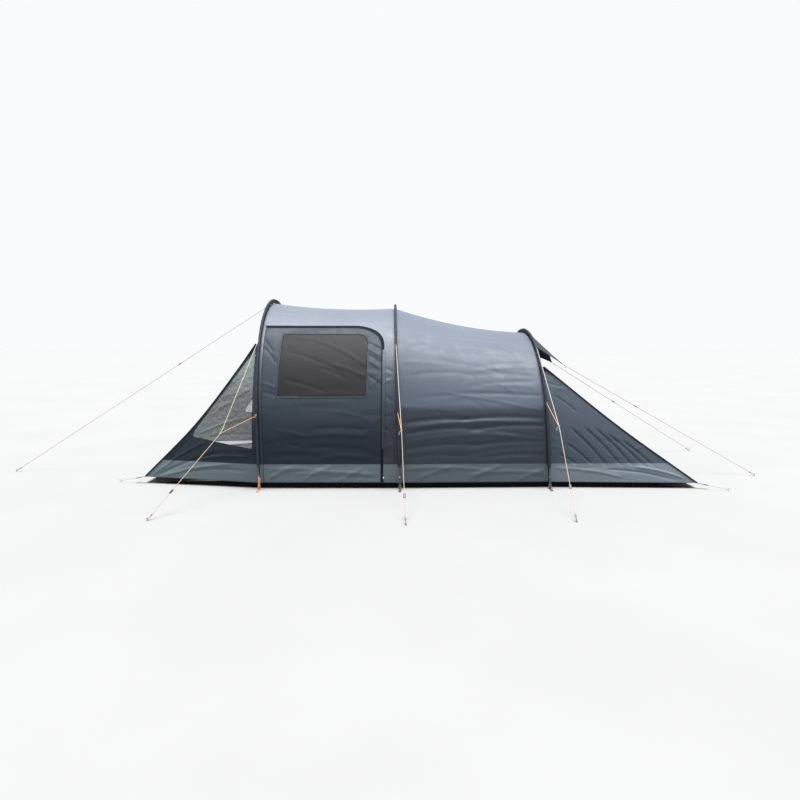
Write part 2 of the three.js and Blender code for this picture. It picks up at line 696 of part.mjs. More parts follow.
function addGuy(name, pegXY, ties, junction, runnerAt) {
  const start = lineEnd(pegXY, junction);
  const tubes = [straightTube(start, junction, LINE_RADIUS, 8)];
  for (const tie of ties) tubes.push(straightTube(junction, tie, LINE_RADIUS, 8));
  if (ties.length > 0) tubes.push(new THREE.IcosahedronGeometry(LINE_RADIUS * 2, 1).translate(...junction.toArray()));
  addPart(`guy_${name}`, toGeometry(union(tubes)), 'cord');
  addPart(`runner_${name}`, runner(start, junction, runnerAt), 'plastic');
  const pegFoot = new THREE.Vector3(pegXY[0], pegXY[1], 0);
  addPart(`peg_${name}`, peg(pegFoot, pegFoot.clone().sub(junction)), 'steel');
}

// Where a bridle leg meets the sleeve at height z.
function tiePoint(hoop, z, side) {
  const point = new HoopCurve(hoop, -TIE_CLEARANCE, z).getPoint(0);
  return mirrored(-side, point.toArray());
}

for (const [sideName, side] of Object.entries(SIDES)) {
  for (const [name, guy] of Object.entries(SIDE_GUYS)) {
    const ties = [guy.upperZ, guy.lowerZ].map((z) => tiePoint(HOOPS[name], z, side));
    const junction = mirrored(-side, guy.junction);
    addGuy(`${name}_${sideName}`, [guy.peg[0], -side * guy.peg[1]], ties, junction, SIDE_RUNNER_AT[name]);
  }
}
addGuy('front_centre', FRONT_GUY.peg, [], vector(FRONT_GUY.tie), FRONT_GUY.runnerAt);
for (const [sideName, guy] of Object.entries(HOOD_GUYS)) {
  addGuy(`hood_${sideName}`, guy.peg, [], vector(guy.tie), guy.runnerAt);
}

export default tent;
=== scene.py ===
"""Visual model of a three-hoop tunnel tent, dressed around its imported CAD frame.

Metres, +Z up, +X towards the rear end; the side door faces -Y and the ground is z = 0.
"""

import logging
import math
from dataclasses import dataclass, field
from enum import Enum
from typing import Iterable, Sequence

import bpy
import numpy as np
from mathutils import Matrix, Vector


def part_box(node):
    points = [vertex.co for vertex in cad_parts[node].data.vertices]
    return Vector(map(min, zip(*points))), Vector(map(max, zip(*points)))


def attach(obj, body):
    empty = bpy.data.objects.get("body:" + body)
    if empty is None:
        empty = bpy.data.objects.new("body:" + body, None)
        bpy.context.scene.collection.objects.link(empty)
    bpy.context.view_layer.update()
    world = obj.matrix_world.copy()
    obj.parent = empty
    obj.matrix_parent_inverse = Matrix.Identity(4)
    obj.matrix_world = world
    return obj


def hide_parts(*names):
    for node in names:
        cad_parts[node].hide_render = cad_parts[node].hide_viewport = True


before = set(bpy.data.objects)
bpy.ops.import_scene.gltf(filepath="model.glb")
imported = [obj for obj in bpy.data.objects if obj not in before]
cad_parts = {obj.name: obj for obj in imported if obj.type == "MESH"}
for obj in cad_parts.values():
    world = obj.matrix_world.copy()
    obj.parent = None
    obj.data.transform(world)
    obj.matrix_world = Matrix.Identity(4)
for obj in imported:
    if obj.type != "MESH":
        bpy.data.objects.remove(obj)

LOG = logging.getLogger("tent")
Array = np.ndarray

# ---- sizes shared with the frame's own geometry ---------------------------------------------------------

SQUARENESS = 0.8
POLE_RADIUS = 0.0055
POLE_FOOT_Z = 0.008
SLEEVE_RADIUS = 0.0125
FABRIC_INSET = 0.037
SEAM = 0.003
HEM_Z = 0.05
BAND_TOP_Z = 0.214
# ROOF_Z down to FLANK_SHADE_Z: the span of the painted shade on the fly's walls.
ROOF_Z = 1.45
FLANK_SHADE_Z = 0.90
CUT_GAP = 0.002
FABRIC = 0.0014
PEG_HEIGHT = 0.026
CORD_DIAMETER = 0.005
TIE_CLEARANCE = 0.014
ROOT = "tent"


class Side(Enum):
    """The two long sides of the tent, by the sign of Y."""

    NEAR = -1
    FAR = 1

    @property
    def word(self) -> str:
        """The side's name in node names."""
        return self.name.lower()


class End(Enum):
    """The two wedge ends, by the sign of X."""

    FRONT = -1
    REAR = 1

    @property
    def word(self) -> str:
        """The end's name in node names."""
        return self.name.lower()


# ---- mesh helpers ---------------------------------------------------------------------------------------


def unit(vectors: Array) -> Array:
    """Vectors scaled to length 1 along their last axis.

    Args:
        vectors: Array whose last axis holds x, y and z.

    Returns:
        The unit vectors.
    """
    length = np.linalg.norm(vectors, axis=-1, keepdims=True)
    return vectors / np.maximum(length, 1e-12)


def link_mesh(name: str, vertices: Array, faces: Sequence[Sequence[int]]) -> bpy.types.Object:
    """Makes a smooth-shaded mesh object at the origin.

    Args:
        name: Object name.
        vertices: One row of x, y, z for each vertex.
        faces: Vertex numbers of each face, turning outwards.

    Returns:
        The linked object.
    """
    mesh = bpy.data.meshes.new(name)
    mesh.from_pydata(np.asarray(vertices, dtype=float).tolist(), [], [list(map(int, f)) for f in faces])
    mesh.shade_smooth()
    piece = bpy.data.objects.new(name, mesh)
    bpy.context.scene.collection.objects.link(piece)
    return piece


def write_uv(piece: bpy.types.Object, uv: Array) -> None:
    """Writes one UV pair, in metres on the cloth, for each vertex.

    Args:
        piece: The mesh object.
        uv: One row of u, v for each vertex.
    """
    mesh = piece.data
    corners = np.empty(len(mesh.loops), dtype=np.int32)
    mesh.loops.foreach_get("vertex_index", corners)
    layer = mesh.uv_layers.new(name="cloth")
    layer.data.foreach_set("uv", np.asarray(uv, dtype=np.float32)[corners].ravel())


def grid_normals(grid: Array) -> Array:
    """Unit normals of a grid of points, first axis across second.

    Args:
        grid: Points as (rows, columns, 3).

    Returns:
        Normals in the same shape.
    """
    return unit(np.cross(np.gradient(grid, axis=0), np.gradient(grid, axis=1)))


def grid_quads(rows: int, columns: int, start: int = 0) -> Array:
    """Faces of a grid of vertices stored row by row.

    Args:
        rows: Number of rows of points.
        columns: Number of points in a row.
        start: Number of the first vertex.

    Returns:
        One row of four vertex numbers for each face.
    """
    index = start + np.arange(rows * columns).reshape(rows, columns)
    corners = (index[:-1, :-1], index[1:, :-1], index[1:, 1:], index[:-1, 1:])
    return np.stack([c.ravel() for c in corners], axis=1)


def shell(name: str, grid: Array, thickness: float) -> bpy.types.Object:
    """A closed sheet of even thickness about a grid of points, with its UV in metres.

    Args:
        name: Object name.
        grid: Points as (rows, columns, 3).
        thickness: Thickness of the sheet.

    Returns:
        The sheet.
    """
    rows, columns = grid.shape[:2]
    normals = grid_normals(grid)
    count = rows * columns
    vertices = np.concatenate(
        [(grid + normals * thickness / 2).reshape(-1, 3), (grid - normals * thickness / 2).reshape(-1, 3)]
    )
    front = grid_quads(rows, columns)
    back = grid_quads(rows, columns, count)[:, ::-1]
    index = np.arange(count).reshape(rows, columns)
    loop = np.concatenate([index[:, 0], index[-1, 1:], index[-2::-1, -1], index[0, -2:0:-1]])
    after = np.roll(loop, -1)
    rim = np.stack([loop, loop + count, after + count, after], axis=1)
    faces = np.concatenate([front, back, rim])
    piece = link_mesh(name, vertices, faces)
    down = np.cumsum(np.r_[0, np.linalg.norm(np.diff(grid[:, columns // 2], axis=0), axis=-1)])
    along = np.cumsum(np.r_[0, np.linalg.norm(np.diff(grid[rows // 2], axis=0), axis=-1)])
    uv = np.stack(np.meshgrid(down, along, indexing="ij"), axis=-1).reshape(-1, 2)
    write_uv(piece, np.concatenate([uv, uv]))
    return piece


def frames_along(points: Array, up: Array) -> tuple[Array, Array]:
    """Side and up directions of a path, square to it.

    Args:
        points: Points of the path.
        up: Wished up direction, one for the path or one for each point.

    Returns:
        Sideways and upward unit vectors at each point.
    """
    tangent = unit(np.gradient(points, axis=0))
    wished = np.broadcast_to(np.asarray(up, dtype=float), points.shape)
    side = unit(np.cross(tangent, wished))
    return side, unit(np.cross(side, tangent))


def sweep(
    name: str,
    points: Array,
    section: Array,
    up: Array = (0.0, 0.0, 1.0),
    scale: Array | None = None,
    closed: bool = False,
) -> bpy.types.Object:
    """A solid with one section along a path.

    Args:
        name: Object name.
        points: Points of the path.
        section: Outline as rows of (side, up), turning anticlockwise.
        up: Up direction of the section.
        scale: Size of the section at each point.
        closed: True where the path returns to its start; up is then one direction.

    Returns:
        The swept solid, its ends closed.
    """
    points = np.asarray(points, dtype=float)
    section = np.asarray(section, dtype=float)
    count, corners = len(points), len(section)
    if closed:
        looped = np.concatenate([points[-1:], points, points[:1]])
        side, upward = (v[1:-1] for v in frames_along(looped, up))
    else:
        side, upward = frames_along(points, up)
    size = np.ones(count) if scale is None else np.asarray(scale, dtype=float)
    rings = (
        points[:, None]
        + side[:, None] * (section[None, :, :1] * size[:, None, None])
        + upward[:, None] * (section[None, :, 1:] * size[:, None, None])
    )
    index = np.arange(count * corners).reshape(count, corners)
    following = np.roll(index, -1, axis=1)
    last = count if closed else count - 1
    faces = []
    for i in range(last):
        j = (i + 1) % count
        faces.extend(np.stack([index[i], index[j], following[j], following[i]], axis=1).tolist())
    if not closed:
        faces.append(index[0].tolist())
        faces.append(index[-1][::-1].tolist())
    piece = link_mesh(name, rings.reshape(-1, 3), faces)
    distance = np.cumsum(np.r_[0, np.linalg.norm(np.diff(points, axis=0), axis=-1)])
    around = np.linspace(0, 1, corners, endpoint=False)
    uv = np.stack(np.meshgrid(distance, around, indexing="ij"), axis=-1).reshape(-1, 2)
    write_uv(piece, uv)
    return piece


def round_section(radius: float, sides: int = 10) -> Array:
    """A round section.

    Args:
        radius: Its radius.
        sides: Number of corners.

    Returns:
        Corner points, anticlockwise.
    """
    angle = 2 * math.pi * (np.arange(sides) + 0.5) / sides
    return np.stack([radius * np.cos(angle), radius * np.sin(angle)], axis=1)


def flat_section(width: float, thickness: float) -> Array:
    """A strap's section with softened corners.

    Args:
        width: Width of the strap.
        thickness: Its thickness.

    Returns:
        Corner points, anticlockwise.
    """
    w, t = width / 2, thickness / 2
    c = min(w, t) * 0.6
    corners = [(-w, -t + c), (-w + c, -t), (w - c, -t), (w, -t + c), (w, t - c), (w - c, t), (-w + c, t), (-w, t - c)]
    return np.array(corners)


def join(name: str, parts: Sequence[bpy.types.Object]) -> bpy.types.Object:
    """Joins pieces into one object, keeping their materials.

    Args:
        name: Name of the whole.
        parts: The pieces, which are used up.

    Returns:
        The joined object.
    """
    for other in bpy.context.selected_objects:
        other.select_set(False)
    for part in parts:
        part.select_set(True)
    bpy.context.view_layer.objects.active = parts[0]
    bpy.ops.object.join()
    whole = bpy.context.view_layer.objects.active
    whole.name = name
    whole.data.name = name
    whole.select_set(False)
    return whole


def smooth_path(corners: Sequence[Sequence[float]], count: int, rounding: float) -> Array:
    """A path through corners, each rounded off, with evenly spaced points.

    Args:
        corners: Corner points.
        count: Number of points returned.
        rounding: Distance from a corner at which its curve starts.

    Returns:
        The points.
    """
    corners = [np.array(c, dtype=float) for c in corners]
    line = [corners[0]]
    for before, here, after in zip(corners, corners[1:], corners[2:]):
        reach_in = min(rounding, np.linalg.norm(before - here) * 0.45)
        reach_out = min(rounding, np.linalg.norm(after - here) * 0.45)
        start = here + unit(before - here) * reach_in
        end = here + unit(after - here) * reach_out
        for t in np.linspace(0, 1, 9):
            line.append((1 - t) ** 2 * start + 2 * t * (1 - t) * here + t**2 * end)
    line.append(corners[-1])
    return respaced(np.array(line), count)


def respaced(points: Array, count: int) -> Array:
    """The same path with evenly spaced points.

    Args:
        points: Points of the path.
        count: Number of points returned.

    Returns:
        The points.
    """
    distance = np.cumsum(np.r_[0, np.linalg.norm(np.diff(points, axis=0), axis=-1)])
    wanted = np.linspace(0, distance[-1], count)
    return np.stack([np.interp(wanted, distance, points[:, k]) for k in range(points.shape[1])], axis=1)


def path_length(points: Array) -> float:
    """Length of a path of points."""
    return float(np.linalg.norm(np.diff(points, axis=0), axis=-1).sum())


class Carve(Enum):
    """What a cutting solid does to a piece."""

    REMOVE = "DIFFERENCE"
    KEEP = "INTERSECT"


def prism(outline: Array, low_y: float, high_y: float) -> bpy.types.Object:
    """A cutting solid: an outline in X and Z pushed along Y.

    Args:
        outline: Rows of (x, z), in either direction.
        low_y: Where it starts.
        high_y: Where it ends.

    Returns:
        The solid.
    """
    ahead = np.roll(outline, -1, axis=0)
    if np.sum(outline[:, 0] * ahead[:, 1] - ahead[:, 0] * outline[:, 1]) < 0:
        outline = outline[::-1]
    count = len(outline)
    near = np.column_stack([outline[:, 0], np.full(count, low_y), outline[:, 1]])
    far = near.copy()
    far[:, 1] = high_y
    index = np.arange(count)
    after = np.roll(index, -1)
    faces = np.stack([index, index + count, after + count, after], axis=1).tolist()
    faces.append(index.tolist())
    faces.append((index[::-1] + count).tolist())
    return link_mesh("cutter", np.concatenate([near, far]), faces)


def carve(piece: bpy.types.Object, cutters: Iterable[tuple[bpy.types.Object, Carve]]) -> None:
    """Cuts a piece with solids and applies the result.

    Args:
        piece: The piece.
        cutters: Each cutting solid and what it does.
    """
    for cutter, action in cutters:
        modifier = piece.modifiers.new("carve", "BOOLEAN")
        modifier.object = cutter
        modifier.operation = action.value
        modifier.solver = "MANIFOLD"
        bake_modifiers(piece)


def bake_modifiers(piece: bpy.types.Object) -> None:
    """Replaces a piece's mesh by its evaluated one and takes its modifiers off."""
    graph = bpy.context.evaluated_depsgraph_get()
    graph.update()
    baked = bpy.data.meshes.new_from_object(piece.evaluated_get(graph), preserve_all_data_layers=True, depsgraph=graph)
    piece.modifiers.clear()
    piece.data = baked


def drop(*pieces: bpy.types.Object) -> None:
    """Deletes helper objects."""
    for piece in pieces:
        bpy.data.objects.remove(piece, do_unlink=True)


def copy_of(piece: bpy.types.Object, name: str) -> bpy.types.Object:
    """A full copy of a piece under a new name."""
    twin = piece.copy()
    twin.data = piece.data.copy()
    twin.name = name
    bpy.context.scene.collection.objects.link(twin)
    return twin


# ---- finishes -------------------------------------------------------------------------------------------

Colour = tuple[float, float, float]


class Shader:
    """A material under construction, with short calls for nodes and links."""

    def __init__(self, name: str) -> None:
        """Starts a material with a Principled shader.

        Args:
            name: Material name.
        """
        self.material = bpy.data.materials.new(name)
        self.material.use_nodes = True
        self.tree = self.material.node_tree
        self.body = self.tree.nodes["Principled BSDF"]

    def node(self, kind: str, **inputs: object) -> bpy.types.Node:
        """Adds a node and fills its inputs.

        Args:
            kind: Node type without the ShaderNode prefix.
            inputs: Values or output sockets, by input name with _ for spaces; lower-case
                names set the node's own properties.

        Returns:
            The node.
        """
        made = self.tree.nodes.new(f"ShaderNode{kind}")
        for name, value in inputs.items():
            if name[0].islower():
                setattr(made, name, value)
                continue
            socket = made.inputs[name.replace("_", " ")]
            if isinstance(value, bpy.types.NodeSocket):
                self.tree.links.new(value, socket)
            else:
                socket.default_value = value
        return made

    def feed(self, socket: str, source: bpy.types.NodeSocket) -> None:
        """Links a varying value to the Principled shader."""
        self.tree.links.new(source, self.body.inputs[socket])

    def fix(self, **values: object) -> None:
        """Sets even values on the Principled shader, by socket name with _ for spaces."""
        for name, value in values.items():
            self.body.inputs[name.replace("_", " ")].default_value = value

    def place(self) -> bpy.types.NodeSocket:
        """The object coordinate, in metres."""
        return self.node("TexCoord").outputs["Object"]

    def cloth(self) -> bpy.types.NodeSocket:
        """The cloth's own coordinate, in metres."""
        return self.node("UVMap", uv_map="cloth").outputs["UV"]

    def noise(self, where: bpy.types.NodeSocket, scale: float, detail: float = 3.0) -> bpy.types.NodeSocket:
        """A noise pattern's value.

        Args:
            where: Coordinate to read it at.
            scale: Features to the metre.
            detail: Octaves.

        Returns:
            The value socket.
        """
        return self.node("TexNoise", Vector=where, Scale=scale, Detail=detail).outputs["Fac"]

    def ramp(self, source: bpy.types.NodeSocket, low: float, high: float) -> bpy.types.NodeSocket:
        """Spreads the middle of a 0 to 1 pattern over a new range.

        Args:
            source: The pattern.
            low: Result at 0.3.
            high: Result at 0.7.

        Returns:
            The result socket.
        """
        made = self.node("MapRange", Value=source)
        made.inputs["From Min"].default_value = 0.3
        made.inputs["From Max"].default_value = 0.7
        made.inputs["To Min"].default_value = low
        made.inputs["To Max"].default_value = high
        return made.outputs["Result"]

    def height(self, where: bpy.types.NodeSocket, start: float, end: float) -> bpy.types.NodeSocket:
        """A value that goes from 0 at one height above the ground to 1 at another.

        Args:
            where: Object coordinate.
            start: Height with 0.
            end: Height with 1.

        Returns:
            The value socket.
        """
        parts = self.node("SeparateXYZ", Vector=where)
        made = self.node("MapRange", Value=parts.outputs["Z"], interpolation_type="SMOOTHSTEP")
        made.inputs["From Min"].default_value = start
        made.inputs["From Max"].default_value = end
        return made.outputs["Result"]

    def mix(self, share: object, first: object, second: object) -> bpy.types.NodeSocket:
        """Mixes two colours, each a colour or a socket.

        Args:
            share: How much of the second, a number or a socket.
            first: Colour at 0.
            second: Colour at 1.

        Returns:
            The colour socket.
        """
        made = self.node("Mix", data_type="RGBA")
        for socket, value in zip((made.inputs[0], made.inputs[6], made.inputs[7]), (share, first, second)):
            if isinstance(value, bpy.types.NodeSocket):
                self.tree.links.new(value, socket)
            else:
                socket.default_value = value if isinstance(value, float) else (*value, 1.0)
        return made.outputs[2]

    def relief(self, *layers: tuple[bpy.types.NodeSocket, float, float]) -> None:
        """Stacks bump layers on the shader's normal.

        Args:
            layers: Height pattern, strength and depth in metres of each layer.
        """
        below = None
        for height, strength, depth in layers:
            bump = self.node("Bump", Height=height, Strength=strength, Distance=depth)
            if below is not None:
                self.tree.links.new(below, bump.inputs["Normal"])
            below = bump.outputs["Normal"]
        if below is not None:
            self.feed("Normal", below)

    def weave(self, where: bpy.types.NodeSocket, pitch: float) -> bpy.types.NodeSocket:
        """A plain weave's height: threads over and under each other.

        Args:
            where: Cloth coordinate.
            pitch: Distance between threads.

        Returns:
            The height socket.
        """
        scale = 1.0 / (pitch * math.pi)
        warp = self.node("TexWave", bands_direction="X", Vector=where, Scale=scale).outputs["Fac"]
        weft = self.node("TexWave", bands_direction="Y", Vector=where, Scale=scale).outputs["Fac"]
        return self._higher(warp, weft)

    def _higher(self, first: bpy.types.NodeSocket, second: bpy.types.NodeSocket) -> bpy.types.NodeSocket:
        """The larger of two values."""
        made = self.node("Math", operation="MAXIMUM")
        self.tree.links.new(first, made.inputs[0])
        self.tree.links.new(second, made.inputs[1])
        return made.outputs[0]


@dataclass(frozen=True)
class ClothFinish:
    """Coated or plain cloth with a weave, crinkle, slow colour change and painted shade by height."""

    name: str
    base: Colour
    shade: Colour
    roughness: float = 0.5
    sheen: float = 0.15
    pitch: float = 0.0009
    crinkle: float = 0.0012
    specular: float = 0.25
    # flank: painted light and shade by height, full at FLANK_SHADE_Z; darker on the fly walls, lighter on the dark
    # door cloth.
    flank: Colour | None = None
    # low: painted shade of the lower walls, full below the heights in dim.
    low: Colour | None = None
    band: Colour | None = None
    dim: tuple[float, float] = (0.735, 0.665)

    def material(self) -> bpy.types.Material:
        """Builds the material."""
        s = Shader(self.name)
        place = s.place()
        cloth = s.cloth()
        slow = s.ramp(s.noise(place, 2.6), 0.0, 1.0)
        colour = s.mix(slow, self.base, self.shade)
        dust = s.ramp(s.noise(place, 38.0, 6.0), 0.0, 0.22)
        lighter = tuple(min(1.0, c * 1.25) for c in self.base)
        colour = s.mix(dust, colour, lighter)
        # Painted light and shade by height: the colour moves towards flank from roof height down to FLANK_SHADE_Z.
        if self.flank is not None:
            colour = s.mix(s.height(place, ROOF_Z, FLANK_SHADE_Z), colour, self.flank)
        if self.band is not None:
            # Painted shade: darker towards the bottom of the walls, between the heights in dim.
            colour = s.mix(s.height(place, *self.dim), colour, self.low)
            colour = s.mix(s.height(place, BAND_TOP_Z, BAND_TOP_Z - 0.005), colour, self.band)
        s.feed("Base Color", colour)
        s.feed("Roughness", s.ramp(s.noise(place, 9.0), self.roughness - 0.06, self.roughness + 0.07))
        s.fix(Sheen_Weight=self.sheen, Sheen_Roughness=0.4, Specular_IOR_Level=self.specular)
        s.relief(
            (s.noise(place, 16.0, 4.0), 0.35, self.crinkle * 3),
            (s.noise(place, 70.0, 3.0), 0.15, self.crinkle),
            (s.weave(cloth, self.pitch), 0.12, self.pitch * 0.3),
        )
        return s.material


@dataclass(frozen=True)
class NetFinish:
    """Fine dark mosquito net as an opaque sheet, its threads over painted shade of the dark inside."""

    name: str
    base: Colour
    thread: Colour
    pitch: float = 0.0022

    def material(self) -> bpy.types.Material:
        """Builds the material."""
        s = Shader(self.name)
        place = s.place()
        knots = s.weave(s.cloth(), self.pitch)
        # Threads over the base colour, which is painted shade for the dark inside seen through the net.
        colour = s.mix(s.ramp(knots, 0.0, 1.0), self.base, self.thread)
        faded = s.ramp(s.noise(place, 3.0), 0.0, 0.35)
        s.feed("Base Color", s.mix(faded, colour, tuple(c * 1.4 for c in self.thread)))
        s.fix(Roughness=0.55, Specular_IOR_Level=0.1)
        s.relief((s.noise(place, 24.0, 3.0), 0.25, 0.003), (knots, 0.3, 0.0006))
        return s.material


@dataclass(frozen=True)
class ClearFinish:
    """Hazy clear film, creased from being folded."""

    name: str
    tint: Colour
    cover: float

    def material(self) -> bpy.types.Material:
        """Builds the material."""
        s = Shader(self.name)
        place = s.place()
        haze = s.noise(place, 5.0, 4.0)
        s.feed("Base Color", s.mix(s.ramp(haze, 0.0, 1.0), self.tint, tuple(c * 0.8 for c in self.tint)))
        thin = s.ramp(haze, self.cover - 0.12, self.cover + 0.02)
        thick = s.ramp(haze, self.cover + 0.22, self.cover + 0.4)
        s.feed("Alpha", s.mix(s.height(place, 0.78, 1.1), thin, thick))
        s.feed("Roughness", s.ramp(s.noise(place, 30.0), 0.1, 0.28))
        s.fix(Specular_IOR_Level=0.7, Coat_Weight=0.3, Coat_Roughness=0.08)
        creases = s.node("TexVoronoi", Vector=place, Scale=17.0, feature="DISTANCE_TO_EDGE").outputs["Distance"]
        s.relief((creases, 0.8, 0.014), (s.noise(place, 60.0, 5.0), 0.7, 0.004))
        return s.material


@dataclass(frozen=True)
class CordFinish:
    """Braided cord or webbing, its strands crossing along the piece's own length, with painted shade between them."""

    name: str
    base: Colour
    fleck: Colour
    strands: float = 260.0
    roughness: float = 0.75
    low: Colour | None = None

    def material(self) -> bpy.types.Material:
        """Builds the material."""
        s = Shader(self.name)
        cloth = s.cloth()
        place = s.place()
        braid = s.node("TexWave", bands_direction="DIAGONAL", Vector=cloth, Scale=self.strands)
        worn = s.ramp(s.noise(place, 45.0, 4.0), 0.0, 1.0)
        colour = s.mix(worn, self.base, self.fleck)
        if self.low is not None:
            colour = s.mix(s.height(place, 0.57, 0.53), colour, self.low)
        # Painted shade in the hollows between the braid's strands.
        gap_shade = tuple(c * 0.55 for c in self.base)
        s.feed("Base Color", s.mix(s.ramp(braid.outputs["Fac"], 0.0, 0.35), colour, gap_shade))
        s.fix(Roughness=self.roughness, Sheen_Weight=0.2)
        s.relief((braid.outputs["Fac"], 0.5, 0.0008), (s.noise(place, 400.0), 0.3, 0.0003))
        return s.material


@dataclass(frozen=True)
class HardFinish:
    """Moulded plastic, rod or wire with light wear."""

    name: str
    base: Colour
    worn: Colour
    roughness: float = 0.42
    metallic: float = 0.0
    grain: float = 160.0

    def material(self) -> bpy.types.Material:
        """Builds the material."""
        s = Shader(self.name)
        place = s.place()
        wear = s.ramp(s.noise(place, self.grain * 0.3, 5.0), 0.0, 1.0)
        s.feed("Base Color", s.mix(wear, self.base, self.worn))
        s.feed("Roughness", s.ramp(s.noise(place, self.grain), self.roughness - 0.08, self.roughness + 0.12))
        s.fix(Metallic=self.metallic)
        s.relief((s.noise(place, self.grain * 3.0), 0.2, 0.0003))
        return s.material


class Finish(Enum):
    """Every finish on the tent."""

    # On the fly cloths flank and low are painted shade by height; band is the real lighter strip at the hem.
    FLY = ClothFinish(
        "fly_cloth", (0.083, 0.1, 0.131), (0.073, 0.089, 0.117), 0.52, 0.05, specular=0.3,
        flank=(0.044, 0.057, 0.079), low=(0.013, 0.019, 0.029), band=(0.054, 0.073, 0.083),
    )
    LIVING_FLY = ClothFinish(
        "living_fly_cloth", (0.095, 0.111, 0.138), (0.085, 0.1, 0.125), 0.52, 0.05, specular=0.3,
        flank=(0.05, 0.063, 0.085), low=(0.011, 0.016, 0.024), band=(0.072, 0.095, 0.106), dim=(1.4, 0.45),
    )
    DOOR_FLY = ClothFinish(
        "door_fly_cloth", (0.014, 0.02, 0.03), (0.012, 0.017, 0.026), 0.54, 0.0, specular=0.17,
        flank=(0.022, 0.03, 0.042), low=(0.008, 0.0125, 0.0195), band=(0.078, 0.102, 0.114), dim=(0.8, 0.4),
    )
    END_FLY = ClothFinish(
        "end_fly_cloth", (0.033, 0.045, 0.061), (0.028, 0.039, 0.054), 0.5, 0.02, specular=0.25,
        low=(0.029, 0.041, 0.056), band=(0.105, 0.13, 0.152), dim=(0.9, 0.4),
    )
    SLEEVE = ClothFinish("sleeve_cloth", (0.02, 0.025, 0.034), (0.014, 0.018, 0.025), 0.6, 0.0, specular=0.15)
    TAPE = ClothFinish(
        "zip_tape", (0.004, 0.006, 0.01), (0.006, 0.008, 0.013), 0.7, 0.0, pitch=0.0006, crinkle=0.0004, specular=0.08
    )
    # Near-black sheet colour: painted shadow under the fly's hem.
    SKIRT = ClothFinish("skirt_cloth", (0.003, 0.0035, 0.004), (0.005, 0.0055, 0.006), 0.8, 0.0, specular=0.05)
    INNER = ClothFinish("inner_cloth", (0.5, 0.5, 0.47), (0.44, 0.44, 0.42), 0.7)
    FLOOR = ClothFinish("floor_cloth", (0.035, 0.04, 0.048), (0.028, 0.032, 0.04), 0.4, pitch=0.0025)
    NET = NetFinish("door_net", (0.007, 0.007, 0.008), (0.016, 0.016, 0.017))
    CLEAR = ClearFinish("clear_film", (0.2, 0.225, 0.225), 0.36)
    SIDE_CORD = CordFinish("side_guy_cord", (0.42, 0.36, 0.28), (0.5, 0.44, 0.36), low=(0.42, 0.29, 0.17))
    CORD = CordFinish("guy_cord", (0.34, 0.29, 0.23), (0.42, 0.37, 0.3))
    ORANGE_CORD = CordFinish("orange_cord", (0.55, 0.2, 0.06), (0.62, 0.32, 0.14))
    WEBBING = CordFinish("orange_webbing", (0.5, 0.15, 0.04), (0.58, 0.24, 0.08), 190.0)
    DARK_WEBBING = CordFinish("dark_webbing", (0.02, 0.022, 0.027), (0.035, 0.037, 0.042), 190.0)
    PLASTIC = HardFinish("black_plastic", (0.018, 0.019, 0.021), (0.03, 0.031, 0.034))
    ROD = HardFinish("pole_rod", (0.03, 0.032, 0.036), (0.05, 0.052, 0.056), 0.3)
    STEEL = HardFinish("zinc_steel", (0.45, 0.46, 0.47), (0.32, 0.32, 0.33), 0.35, 1.0)
    THREAD = ClothFinish("thread", (0.11, 0.13, 0.16), (0.09, 0.11, 0.14), 0.7, pitch=0.0004)


class Wardrobe:
    """Makes each material once and puts it on pieces."""

    made: dict[Finish, bpy.types.Material] = {}

    @classmethod
    def material(cls, finish: Finish) -> bpy.types.Material:
        """The material of a finish, made on first use."""
        if finish not in cls.made:
            cls.made[finish] = finish.value.material()
        return cls.made[finish]

    @classmethod
    def dress(cls, piece: bpy.types.Object, finish: Finish) -> bpy.types.Object:
        """Gives a piece one finish.

        Args:
            piece: The piece.
            finish: Its finish.

        Returns:
            The piece.
        """
        mesh = piece.data
        mesh.materials.clear()
        mesh.materials.append(cls.material(finish))
        mesh.polygons.foreach_set("material_index", np.zeros(len(mesh.polygons), dtype=np.int32))
        return piece


def settle(
    piece: bpy.types.Object, finish: Finish, body: str = ROOT, replaces: Sequence[str] = ()
) -> bpy.types.Object:
    """Dresses a finished piece, seats it on its body and reports it.

    Args:
        piece: The piece.
        finish: Its finish, or the finish of its main part where it is dressed already.
        body: The body that it rides on.
        replaces: CAD nodes that it stands for.

    Returns:
        The piece.
    """
    if not any(piece.data.materials):
        Wardrobe.dress(piece, finish)
    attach(piece, body)
    if replaces:
        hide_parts(*replaces)
    LOG.info("%s: %d faces on %s", piece.name, len(piece.data.polygons), body)
    return piece


def patch_area(grid: Array) -> float:
    """Area of a grid of points, from the diagonals of its cells."""
    first = grid[1:, 1:] - grid[:-1, :-1]
    second = grid[1:, :-1] - grid[:-1, 1:]
    return float(np.linalg.norm(np.cross(first, second), axis=-1).sum() / 2)


def outline_area(line: Array) -> float:
    """Area inside a closed outline of (x, y) points."""
    x, y = line.T
    return abs(float(np.dot(x, np.roll(y, -1)) - np.dot(y, np.roll(x, -1)))) / 2


# ---- repeated details by geometry nodes -----------------------------------------------------------------


class Repeat(Enum):
    """What is repeated along a path."""

    STITCH = "stitch"
    TOOTH = "tooth"
    FERRULE = "ferrule"


@dataclass(frozen=True)
class RepeatSizes:
    """Sizes of a repeated detail: its pitch, and its length, width and height."""

    pitch: float
    length: float
    width: float
    height: float


